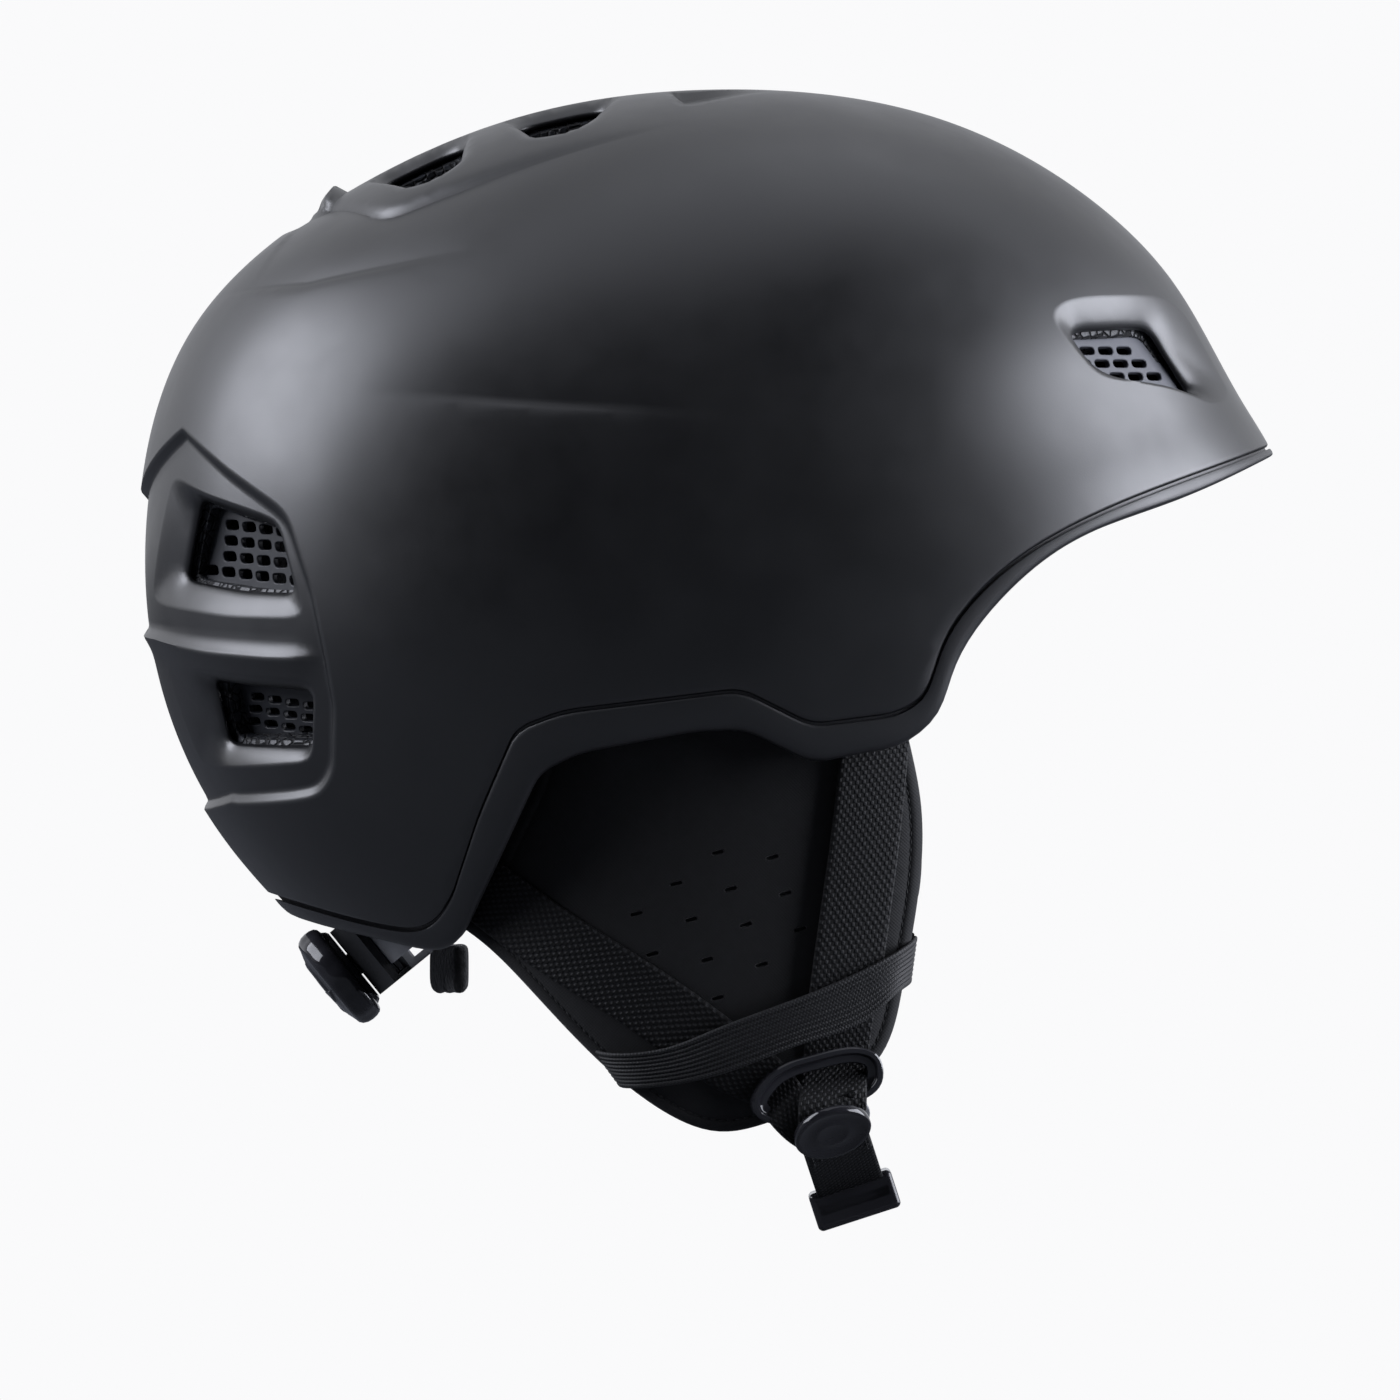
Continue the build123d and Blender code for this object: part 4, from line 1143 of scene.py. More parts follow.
@dataclass
class EarFace:
    """The curved face of an ear pad, on the right side: u runs forward, v up, and r out from its axis."""

    lean: float = math.radians(5.6)
    middle: float = 8.0
    top: tuple[float, float] = (-93.5, -54.0)
    radius: float = 106.0

    def __post_init__(self) -> None:
        """Work out the face's directions."""
        c, s = math.cos(self.lean), math.sin(self.lean)
        self.out, self.up = np.array([0, -c, -s]), np.array([0, -s, c])
        self.origin = np.array([self.middle, self.top[0], self.top[1]]) - self.out * self.radius

    def place(self, u: np.ndarray, v: np.ndarray, r: float | np.ndarray) -> np.ndarray:
        """Points at u, v and radius r."""
        u, v, r = np.broadcast_arrays(np.asarray(u, float), np.asarray(v, float), np.asarray(r, float))
        deep = np.sqrt(np.maximum(r * r - (u - self.middle) ** 2, 0))
        x = np.zeros((*u.shape, 3))
        x[..., 0] = u - self.middle
        return self.origin + x + v[..., None] * self.up + deep[..., None] * self.out

    def local(self, points: np.ndarray) -> tuple[np.ndarray, np.ndarray, np.ndarray]:
        """u, v and r of points."""
        p = points - self.origin
        return p[..., 0] + self.middle, p @ self.up, np.hypot(p[..., 0], p @ self.out)


@dataclass
class Liner:
    """The bead foam inside the shell, with a tunnel behind every vent."""

    dome: Dome
    lines: RimLines
    relief: Relief
    hollow: HeadHollow = field(default_factory=HeadHollow)
    ear: EarFace = field(default_factory=EarFace)
    inset: float = 3.0
    least: float = 6.0
    rows: int = 4

    def build(self) -> bpy.types.Object:
        """Make the foam between its outer face, the head's hollow and the tunnels."""
        line = self.lines.chart_line(0.42, inset=self.inset, pitch=3.2)
        first, last = (math.atan2(line[k][1], line[k][0]) for k in (-1, 0))
        sweep = np.linspace(first, last + (2 * math.pi if last < first else 0), 900)
        d = self.dome.span(sweep)
        top = resample(np.stack([d * np.cos(sweep), d * np.sin(sweep)], axis=1), 4.5)[1:-1]
        holes = [resample(widened(h, -0.7), 2.2, True) for h in (*self.relief.openings.values(), *self.relief.tops)]
        extra = [resample(f, 3.0, True) for f in self.relief.funnels.values()] + [resample(self.relief.panel, 4.0)]
        net = fill_region(np.vstack([line, top]), holes, 4.5, extra)
        normal = self.dome.normal(net.points)
        outer = self.dome.place(net.points, self.inset) - normal * self.relief.depth(net.points)[:, None]
        on_middle = np.abs(np.hypot(*net.points.T) - self.dome.span(np.arctan2(net.points[:, 1], net.points[:, 0]))) < 0.02
        outer[on_middle, 1] = 0.0
        inner = self.inner_face(net.points, outer)
        inner[on_middle, 1] = 0.0
        layers = [outer + (inner - outer) * t for t in np.linspace(0, 1, self.rows + 1)]
        n = len(outer)
        rims = np.array([(i, j) for i, j in net.rims if not (on_middle[i] and on_middle[j])])
        faces = [tuple(f) for f in net.faces] + [tuple(f[::-1] + n * self.rows) for f in net.faces]
        quads = walls(rims, n, self.rows)
        faces += [(a, b, c) for a, b, c, d in quads] + [(a, c, d) for a, b, c, d in quads]
        whole, joined = mirrored_whole(np.vstack(layers), np.array(faces))
        made = make_piece("foam_liner", whole, Shell.outward(whole, joined), Palette.foam, "foam", crease=32)
        return settle(made, "helmet", "eps_liner")

    def inner_face(self, chart: np.ndarray, outer: np.ndarray) -> np.ndarray:
        """Where the foam ends on the inside: at the hollow, and clear of the ear pads."""
        centre = np.array([-12.0, 0.0, -14.0])
        inwards = centre - outer
        inwards /= np.linalg.norm(inwards, axis=1, keepdims=True)
        for name, shape in VENTS.items():
            away = nearest(chart, self.relief.openings[name], True)[0]
            weight = 1 - smooth(3.0, 16.0, away)
            inwards = inwards * (1 - weight)[:, None] - np.array(shape.normal) * weight[:, None]
        for hole in self.relief.tops:
            weight = 1 - smooth(3.0, 14.0, nearest(chart, hole, True)[0])
            inwards = inwards * (1 - weight)[:, None] + np.array([0.0, 0.0, -1.0]) * weight[:, None]
        inwards /= np.linalg.norm(inwards, axis=1, keepdims=True)
        steps = np.linspace(0, 60, 241)
        trail = outer[:, None, :] + inwards[:, None, :] * steps[None, :, None]
        held = self.hollow.level(trail) < 1
        first = np.where(held.any(axis=1), np.argmax(held, axis=1), 0)
        deep = np.maximum(steps[first], self.least)
        u, v, r = self.ear.local(trail * (1, -1, 1))
        pocket = (np.abs(u - self.ear.middle) < 63.5) & (v > -62) & (v < 11.5) & (r < self.ear.radius + 4.4)
        met = np.where(pocket.any(axis=1), steps[np.argmax(pocket, axis=1)], 1e9)
        deep = np.minimum(deep, np.maximum(met, 1.2))
        return outer + inwards * deep[:, None]


@dataclass
class Grilles:
    """The perforated plates at the bottom of the side vents."""

    dome: Dome
    relief: Relief
    thick: float = 1.6

    def build(self) -> None:
        """Make every plate on both sides."""
        for name, shape in VENTS.items():
            for side in Side:
                self.plate(name, shape, side)

    def plate(self, name: VentName, shape: VentShape, side: Side) -> bpy.types.Object:
        """Make one plate.

        Args:
            name: which vent it closes.
            shape: that vent's shape.
            side: the side it is on.

        Returns:
            The plate.
        """
        n = np.array(shape.normal) / np.linalg.norm(shape.normal)
        level = np.cross([0, 0, 1], n)
        level /= np.linalg.norm(level)
        up = np.cross(n, level)
        middle = np.array(shape.centre) - n * shape.deep
        chart = widened(self.relief.openings[name], 1.2)
        rim = self.dome.place(chart, 3.0) - self.dome.normal(chart) * self.relief.depth(chart)[:, None]
        flat = np.stack([(rim - middle) @ level, (rim - middle) @ up], axis=1)
        outline = resample(flat, 2.2, True)
        holes = []
        keep = widened(outline, -1.0)
        for row in range(9):
            for column in range(-2, 9):
                x = shape.first[0] + shape.across[0] * column + shape.down[0] * row
                z = shape.first[1] + shape.across[1] * column + shape.down[1] * row
                w, h = shape.hole
                lean = 0.2
                corners = ((-w / 2 - lean, h / 2), (w / 2 - lean, h / 2), (w / 2 + lean, -h / 2), (-w / 2 + lean, -h / 2))
                hole = np.array([self.on_plate(x + dx, z + dz, middle, n, level, up) for dx, dz in rounded(corners, 0.9, 4)])
                if inside(hole, keep).all():
                    holes.append(hole)
        net = fill_region(outline, holes, 3.0)
        count = len(net.points)
        sheets = [middle + net.points[:, :1] * level + net.points[:, 1:] * up + n * (h + 0.55 * bow) for h, bow in ((0.0, 0.0), (-self.thick, 0.0))]
        faces = [tuple(f) for f in net.faces] + [tuple(f[::-1] + count) for f in net.faces] + walls(net.rims, count)
        front = name is VentName.FRONT
        finish, slot = (Palette.light_grille, "light_grille") if front else (Palette.dark_grille, "dark_grille")
        made = make_piece(f"{name.value}_grille_{side.word}_plate", np.vstack(sheets), faces, finish, slot, side is Side.RIGHT, crease=35)
        edge = made.modifiers.new("edge", "BEVEL")
        edge.width, edge.segments, edge.limit_method, edge.angle_limit = 0.25 * MM, 2, "ANGLE", math.radians(50)
        return settle(made, "helmet", f"{name.value}_grille_{side.word}")

    @staticmethod
    def on_plate(x: float, z: float, middle: np.ndarray, n: np.ndarray, level: np.ndarray, up: np.ndarray) -> tuple[float, float]:
        """The plate's own place of a point seen from the side at x and z."""
        y = middle[1] - (n[0] * (x - middle[0]) + n[2] * (z - middle[2])) / n[1]
        gap = np.array([x, y, z]) - middle
        return float(gap @ level), float(gap @ up)


# ---------------------------------------------------------------- soft pieces
def inflate(piece: bpy.types.Object, voxel: float, cap: float, pressure: float = 4.0) -> None:
    """Swell a closed mesh by cloth simulation, as its filling would.

    Args:
        piece: the object; its mesh is replaced.
        voxel: the size of the even mesh that is simulated.
        cap: how far a point may move.
        pressure: the pressure inside.
    """
    scene = bpy.context.scene
    even = piece.modifiers.new("even", "REMESH")
    even.mode, even.voxel_size = "VOXEL", voxel * MM
    mesh = bpy.data.meshes.new_from_object(piece.evaluated_get(bpy.context.evaluated_depsgraph_get()))
    piece.modifiers.clear()
    piece.data = mesh
    start = np.array([tuple(v.co) for v in mesh.vertices])
    cloth = piece.modifiers.new("cloth", "CLOTH")
    cloth.settings.use_pressure, cloth.settings.uniform_pressure_force = True, pressure
    cloth.settings.effector_weights.gravity = 0
    cloth.settings.quality = 4
    for frame in range(1, 21):
        scene.frame_set(frame)
    swollen = piece.evaluated_get(bpy.context.evaluated_depsgraph_get())
    moved = np.array([tuple(v.co) for v in swollen.data.vertices]) - start
    size = np.linalg.norm(moved, axis=1, keepdims=True)
    moved *= np.minimum(1, cap * MM / np.maximum(size, 1e-9))
    piece.modifiers.clear()
    mesh.vertices.foreach_set("co", (start + moved).ravel())
    mesh.polygons.foreach_set("use_smooth", np.ones(len(mesh.polygons), bool))
    mesh.update()
    scene.frame_set(1)


def soften(piece: bpy.types.Object) -> None:
    """Give a soft piece one level of subdivision, the same in every view."""
    smoother = piece.modifiers.new("smoother", "SUBSURF")
    smoother.levels = smoother.render_levels = 1


def dent(piece: bpy.types.Object, depth: Callable[[np.ndarray], np.ndarray]) -> None:
    """Press sewn lines into a soft piece.

    Args:
        piece: the object.
        depth: gives, for points in millimetres, how far each is pushed in along its normal.
    """
    mesh = piece.data
    points = np.array([tuple(v.co) for v in mesh.vertices]) / MM
    normals = np.array([tuple(v.normal) for v in mesh.vertices])
    mesh.vertices.foreach_set("co", ((points - normals * depth(points)[:, None]) * MM).ravel())
    mesh.update()


def mirrored_copy(piece: bpy.types.Object, name: str) -> bpy.types.Object:
    """A copy of a finished piece on the other side of the helmet."""
    mesh = piece.data.copy()
    points = np.array([tuple(v.co) for v in mesh.vertices]) * (1, -1, 1)
    mesh.vertices.foreach_set("co", points.ravel())
    mesh.flip_normals()
    mesh.update()
    made = bpy.data.objects.new(name, mesh)
    bpy.context.scene.collection.objects.link(made)
    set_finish(made, piece["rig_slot"])
    return made


def slab(grid: np.ndarray, normals: np.ndarray, out: float, into: float) -> tuple[np.ndarray, list]:
    """A closed slab about a grid of points.

    Args:
        grid: rows by columns of points.
        normals: the direction of its outer side at each.
        out: how far the outer side stands off the grid.
        into: how far the inner side lies below it.

    Returns:
        Its points and faces.
    """
    rows, columns = grid.shape[:2]
    n = rows * columns
    points = np.vstack([(grid + normals * out).reshape(-1, 3), (grid - normals * into).reshape(-1, 3)])
    at = lambda i, j: i * columns + j
    faces = []
    for i in range(rows - 1):
        for j in range(columns - 1):
            quad = (at(i, j), at(i, j + 1), at(i + 1, j + 1), at(i + 1, j))
            faces += [quad, tuple(k + n for k in quad[::-1])]
    edge = [at(0, j) for j in range(columns)] + [at(i, columns - 1) for i in range(1, rows)]
    edge += [at(rows - 1, j) for j in range(columns - 2, -1, -1)] + [at(i, 0) for i in range(rows - 2, 0, -1)]
    faces += [(a, a + n, b + n, b) for a, b in zip(edge, edge[1:] + edge[:1])]
    return points, faces


class Stitcher:
    """Rows of sewn stitches, made by one Geometry Nodes tree."""

    def __init__(self) -> None:
        """Build the tree: short rounded stitches at even steps along a curve."""
        tree = bpy.data.node_groups.new("stitch_row", "GeometryNodeTree")
        self.inputs = {}
        tree.interface.new_socket("Geometry", in_out="INPUT", socket_type="NodeSocketGeometry")
        for name, kind in (("Pitch", "NodeSocketFloat"), ("Length", "NodeSocketFloat"), ("Thickness", "NodeSocketFloat"), ("Thread", "NodeSocketMaterial")):
            self.inputs[name] = tree.interface.new_socket(name, in_out="INPUT", socket_type=kind).identifier
        tree.interface.new_socket("Geometry", in_out="OUTPUT", socket_type="NodeSocketGeometry")
        given = add_node(tree, "NodeGroupInput")
        spaced = add_node(tree, "GeometryNodeResampleCurve", {"Curve": given.outputs["Geometry"], "Length": given.outputs["Pitch"]}, mode="LENGTH")
        stitch = add_node(tree, "GeometryNodeMeshIcoSphere", {"Radius": 0.5, "Subdivisions": 2})
        size = add_node(tree, "ShaderNodeCombineXYZ", {0: given.outputs["Length"], 1: given.outputs["Thickness"], 2: given.outputs["Thickness"]})
        shaped = add_node(tree, "GeometryNodeTransform", {"Geometry": stitch.outputs["Mesh"], "Scale": size.outputs[0]})
        turn = add_node(tree, "FunctionNodeAlignRotationToVector", {"Vector": add_node(tree, "GeometryNodeInputTangent").outputs[0]}, axis="X")
        placed = add_node(
            tree, "GeometryNodeInstanceOnPoints", {"Points": spaced.outputs[0], "Instance": shaped.outputs[0], "Rotation": turn.outputs[0]}
        )
        real = add_node(tree, "GeometryNodeRealizeInstances", {0: placed.outputs[0]})
        even = add_node(tree, "GeometryNodeSetShadeSmooth", {0: real.outputs[0]})
        dressed = add_node(tree, "GeometryNodeSetMaterial", {"Geometry": even.outputs[0], "Material": given.outputs["Thread"]})
        out = add_node(tree, "NodeGroupOutput")
        tree.links.new(dressed.outputs[0], out.inputs[0])
        self.tree = tree

    def sew(self, name: str, lines: list[np.ndarray], pitch: float, length: float, thickness: float, slot: str) -> bpy.types.Object:
        """Sew rows along lines of points in millimetres.

        Args:
            name: the piece's name.
            lines: the rows.
            pitch: distance between stitches.
            length: length of a stitch.
            thickness: thickness of the thread.
            slot: the record's slot.

        Returns:
            The stitches as a plain mesh object.
        """
        curve = bpy.data.curves.new(name, "CURVE")
        curve.dimensions = "3D"
        for line in lines:
            row = curve.splines.new("POLY")
            row.points.add(len(line) - 1)
            row.points.foreach_set("co", np.hstack([np.asarray(line) * MM, np.ones((len(line), 1))]).ravel())
        holder = bpy.data.objects.new(name + "_row", curve)
        bpy.context.scene.collection.objects.link(holder)
        rows = holder.modifiers.new("stitches", "NODES")
        rows.node_group = self.tree
        for key, value in (("Pitch", pitch * MM), ("Length", length * MM), ("Thickness", thickness * MM), ("Thread", Palette.thread.material())):
            rows[self.inputs[key]] = value
        mesh = bpy.data.meshes.new_from_object(holder.evaluated_get(bpy.context.evaluated_depsgraph_get()))
        bpy.data.objects.remove(holder)
        made = bpy.data.objects.new(name, mesh)
        bpy.context.scene.collection.objects.link(made)
        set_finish(made, slot)
        return made


@dataclass(frozen=True)
class Band:
    """A flat band's cross-section.

    Attributes:
        thick: its thickness.
        ribs: how many ribs run along it.
        rib_height: how high they stand.
    """

    thick: float = 1.5
    ribs: int = 0
    rib_height: float = 0.3

    def across(self) -> np.ndarray:
        """Shares of the width at which the section has points."""
        if self.ribs:
            return np.concatenate([[0, 0.012], np.linspace(0.03, 0.97, self.ribs * 6 + 1), [0.988, 1]])
        return np.concatenate([[0, 0.012, 0.035], np.linspace(0.08, 0.92, 9), [0.965, 0.988, 1]])

    def half(self, share: np.ndarray, width: float) -> np.ndarray:
        """Half the thickness at shares of the width, rounded at the edges."""
        edge = np.clip(np.minimum(share, 1 - share) * width / (self.thick * 0.5), 0, 1)
        half = self.thick / 2 * np.sqrt(1 - (1 - edge) ** 2 * 0.92)
        if self.ribs:
            half = half - self.rib_height * np.abs(np.cos(math.pi * (share - 0.03) / 0.94 * self.ribs)) ** 3 * (edge >= 1)
        return half

    def mesh(self, left: np.ndarray, right: np.ndarray) -> tuple[np.ndarray, list, np.ndarray]:
        """A closed band between two edge lines of the same number of points.

        Args:
            left: one edge's points.
            right: the other's; the face that looks out has left to right anticlockwise about the run.

        Returns:
            Its points, its faces and a texture place for each point, in millimetres.
        """
        t = self.across()
        grid = left[:, None, :] * (1 - t)[None, :, None] + right[:, None, :] * t[None, :, None]
        return self.around(grid, t)

    def around(self, grid: np.ndarray, t: np.ndarray) -> tuple[np.ndarray, list, np.ndarray]:
        """A closed band about a grid of middle points, rows along the run and columns across it."""
        run = np.gradient(grid, axis=0)
        wide = np.gradient(grid, axis=1)
        n = np.cross(run, wide)
        n /= np.maximum(np.linalg.norm(n, axis=2, keepdims=True), 1e-9)
        width = float(np.linalg.norm(grid[len(grid) // 2, -1] - grid[len(grid) // 2, 0]))
        half = self.half(t, width)[None, :, None]
        rows, columns = grid.shape[:2]
        along = lengths(grid[:, columns // 2])
        top, under = grid + n * half, (grid - n * half)[:, ::-1]
        loop = np.concatenate([top, under], axis=1)
        k = loop.shape[1]
        faces = [(i * k + j, (i + 1) * k + j, (i + 1) * k + (j + 1) % k, i * k + (j + 1) % k) for i in range(rows - 1) for j in range(k)]
        faces += [tuple(range(k)), tuple(range((rows - 1) * k, rows * k))[::-1]]
        place = np.concatenate([t, t[::-1]]) * width
        uv = np.stack([np.repeat(along, k), np.tile(place, rows)], axis=1)
        return loop.reshape(-1, 3), faces, uv


@dataclass
class EarPad:
    """An ear pad with its cover, cushion and the three bands that lie on it."""

    face: EarFace
    stitcher: Stitcher
    cover_low: tuple = (
        (-62, -50), (-54, -54.8), (-41, -66.5), (-26.6, -81.2), (-9, -95.5), (7.8, -102), (22, -99), (38, -92), (48, -84),
        (54, -66), (58.5, -19), (55.4, -3),
    )
    cover_top: tuple = ((50, 8), (-36, 8), (-38, -12), (-51, -39))
    cushion_low: tuple = (
        (-53, -48), (-44, -60), (-26, -78), (-9, -92), (7.8, -98.5), (22, -96.5), (40, -90), (49, -81), (57.5, -60), (60.5, -28), (57.5, -3),
    )
    cushion_top: tuple = ((50, 6), (-46, 6), (-55, -36))
    slit_rows: tuple = ((-30.8, 2, 7.0), (-38.8, 3, -3.5), (-46.6, 4, -13.5), (-56.8, 3, -9.5), (-67.8, 1, 7.0))
    front_band: tuple = (
        (39, 5, 56, 5, 109.0), (36.5, -20, 54.2, -18, 109.0), (33, -46, 51, -45, 109.0), (30.4, -65, 48.2, -64, 109.0),
        (29.3, -76, 46.2, -75, 108.3), (28.9, -82, 45.4, -81, 107.1), (28.3, -86.5, 45, -85, 107.2), (27.8, -91, 44.8, -88.5, 110.6),
        (27.4, -95.5, 44.8, -92, 114.4), (27.4, -100.3, 44.6, -96.5, 113.4), (28, -103.4, 44.4, -99.6, 109.6), (28.8, -105.6, 44.2, -101.6, 105.6),
    )
    rear_band: tuple = (
        (-58, -27, -67.5, -41, 107.1), (-45.7, -36.4, -55.4, -50.3, 107.1), (-24.5, -50.3, -34.2, -64.3, 107.1), (-4.9, -62.3, -14.6, -76.2, 107.1),
        (8.7, -72, -1, -86, 107.1), (19, -80.2, 9.8, -92.4, 107.0), (25.6, -86.3, 17.0, -95.6, 107.9), (29.2, -91.2, 19.6, -98.4, 111.0),
        (32.6, -96.4, 23, -102.2, 112.0), (36.4, -100.4, 27.6, -106, 108.4), (39, -102.4, 31, -107.6, 105.0),
    )
    keeper_band: tuple = (
        (-24.6, -80.6, -17.4, -90.6, 99.6), (-23.8, -81.6, -16.8, -90.9, 105.6), (-8.9, -80.8, -3.1, -89.4, 110.0), (4.9, -75.8, 11.4, -85.6, 110.9),
        (24.5, -68.4, 29.2, -79, 111.2), (44.2, -60.5, 46.2, -72.6, 111.1), (54.2, -55.6, 52.8, -67, 109.0), (56.9, -54.2, 55.4, -65.8, 103.6), (57.2, -54, 55.6, -65.6, 99.4),
    )

    def outline(self, low: tuple, top: tuple, shrink: float = 0.0) -> np.ndarray:
        """A pad's outline from its curved lower edge and its top corners."""
        edge = Spline(low).sample(120)
        corners = rounded([low[-1], *top, low[0]], 6.0, 5)[5:-5]
        line = resample(np.vstack([edge, corners]), 2.2, True)
        return widened(line, -shrink) if shrink else line

    def build(self) -> None:
        """Make both pads with their bands."""
        cushion = self.cushion()
        for side in (Side.RIGHT, Side.LEFT):
            body = cushion if side is Side.RIGHT else mirrored_copy(cushion, "ear_cushion_left_plush")
            soften(body)
            settle(body, "helmet", f"ear_cushion_{side.word}")
            cover = self.cover(side)
            settle(cover, "helmet", f"ear_cover_{side.word}")
            self.band(self.front_band, "front_strap", Band(1.5), Palette.webbing, "webbing", side)
            self.band(self.rear_band, "rear_strap", Band(1.5), Palette.webbing, "webbing", side)
            self.band(self.keeper_band, "strap_keeper", Band(1.25, ribs=9), Palette.elastic, "elastic", side)
            self.seams(side)

    def cover(self, side: Side) -> bpy.types.Object:
        """The knit cover, with its rows of slits and its bound edge."""
        line = self.outline(self.cover_low, self.cover_top)
        slits = []
        for v, count, start in self.slit_rows:
            for k in range(count):
                c, s = math.cos(math.radians(15)), math.sin(math.radians(15))
                flat = rounded(((-1.75, -0.6), (1.75, -0.6), (1.75, 0.6), (-1.75, 0.6)), 0.55, 3)
                slits.append(flat @ np.array([[c, s], [-s, c]]) + (start + 13.8 * k, v - 1.3 * k))
        extra = [widened(line, -gap) for gap in (0.5, 1.3, 2.4, 3.0, 3.6)]
        extra += [np.vstack([w, w[:1]]) for s in slits for w in (resample(s, 0.6, True), widened(resample(s, 0.6, True), -0.28))]
        net = self.net(line, extra)
        away = nearest(net.points, line, True)[0]
        t = np.clip(1 - away / 2.2, 0, 1)
        sunk = 1.5 * (1 - np.sqrt(1 - t * t * 0.96))
        sunk += 0.45 * np.exp(-(((away - 3.0) / 0.42) ** 2))
        for slit in slits:
            sunk += 1.1 * inside(net.points, widened(slit, -0.12))
        u, v = net.points.T
        sunk -= 0.35 * np.sin(u / 17.0 + 0.6) * np.sin(v / 21.0) * smooth(2, 14, away)
        sunk += 0.25 * np.sin(u / 3.1 + np.sin(v / 5.0)) * smooth(-16, -4, v) * smooth(2, 8, away)
        outer = self.face.place(u, v, self.face.radius - sunk)
        inner = self.face.place(u, v, self.face.radius - 3.0 + np.minimum(1.3 * t, 1.2))
        n = len(u)
        faces = [tuple(f) for f in net.faces] + [tuple(f[::-1] + n) for f in net.faces] + walls(net.rims, n)
        return make_piece(
            f"ear_cover_{side.word}_knit", np.vstack([outer, inner]), faces, Palette.cover, "cover_fabric", side is Side.LEFT,
            uv=np.vstack([net.points, net.points]), crease=55,
        )

    @staticmethod
    def net(line: np.ndarray, extra: list[np.ndarray]) -> Fill:
        """The flat net of a cover; dense lines are held without thinning the ones beside them."""
        return fill_region(line, [], 2.6, extra)

    def cushion(self) -> bpy.types.Object:
        """The plush cushion behind the right cover, swollen by its filling."""
        line = resample(self.outline(self.cushion_low, self.cushion_top, 2.0), 3.0, True)
        net = fill_region(line, [], 5.0)
        u, v = net.points.T
        n = len(u)
        points = np.vstack([self.face.place(u, v, 100.4), self.face.place(u, v, 94.0)])
        faces = [tuple(f) for f in net.faces] + [tuple(f[::-1] + n) for f in net.faces] + walls(net.rims, n)
        made = make_piece("ear_cushion_right_plush", points, faces, Palette.plush, "plush", crease=None)
        inflate(made, 3.4, 2.6)
        return made

    def band_grid(self, stations: tuple, across: np.ndarray, pitch: float = 1.6) -> np.ndarray:
        """A band's middle points from stations of u, v of one edge, u, v of the other, and radius."""
        line = np.array(stations, float)
        middle = (line[:, :2] + line[:, 2:4]) / 2
        knots = lengths(np.column_stack([middle, line[:, 4]]))
        row = Spline(line, knots=knots).sample(max(8, int(knots[-1] / pitch)))
        t = across[None, :]
        u = row[:, :1] * (1 - t) + row[:, 2:3] * t
        v = row[:, 1:2] * (1 - t) + row[:, 3:4] * t
        return self.face.place(u, v, np.repeat(row[:, 4:5], len(across), axis=1))

    def band(self, stations: tuple, node: str, section: Band, finish: Finish, slot: str, side: Side) -> bpy.types.Object:
        """Make one band and let it stand for its CAD solid."""
        t = section.across()
        grid = self.band_grid(stations, t)
        points, faces, uv = section.around(grid, t)
        middle = grid[len(grid) // 2, len(t) // 2]
        run, wide = grid[len(grid) // 2 + 1, 0] - grid[len(grid) // 2, 0], grid[len(grid) // 2, -1] - grid[len(grid) // 2, 0]
        if np.dot(np.cross(run, wide), middle - np.array([8.0, 0.0, middle[2]])) < 0:
            faces = [f[::-1] for f in faces]
        made = make_piece(f"{node}_{side.word}_band", points, faces, finish, slot, side is Side.LEFT, uv=uv, crease=50)
        return settle(made, "helmet", f"{node}_{side.word}")

    def seams(self, side: Side) -> None:
        """Stitches round the cover's bound edge and tacks on the bands."""
        flip = (1, -1, 1) if side is Side.LEFT else (1, 1, 1)
        line = Spline(self.cover_low).sample(400)
        edge = np.vstack([line, line[::-1]])[: len(line)]
        inner = widened(np.vstack([edge, (0, 0)]), -3.0)[8:-10]
        rows = [self.face.place(inner[:, 0], inner[:, 1], self.face.radius - 0.3) * flip]
        front = self.band_grid(self.front_band, np.array([0.07, 0.93]), 0.8)
        rear = self.band_grid(self.rear_band, np.array([0.07, 0.93]), 0.8)
        for grid in (front, rear):
            n = np.cross(np.gradient(grid, axis=0), grid[:, 1:] - grid[:, :1])
            n /= np.linalg.norm(n, axis=2, keepdims=True)
            n *= np.sign(np.sum(n * self.face.out, axis=2, keepdims=True))
            part = slice(int(len(grid) * 0.9), -2)
            rows += [(grid + n * 0.78)[part, k] * flip for k in (0, 1)]
        made = self.stitcher.sew(f"ear_stitches_{side.word}", rows, 2.1, 1.55, 0.42, "webbing")
        settle(made, "helmet")


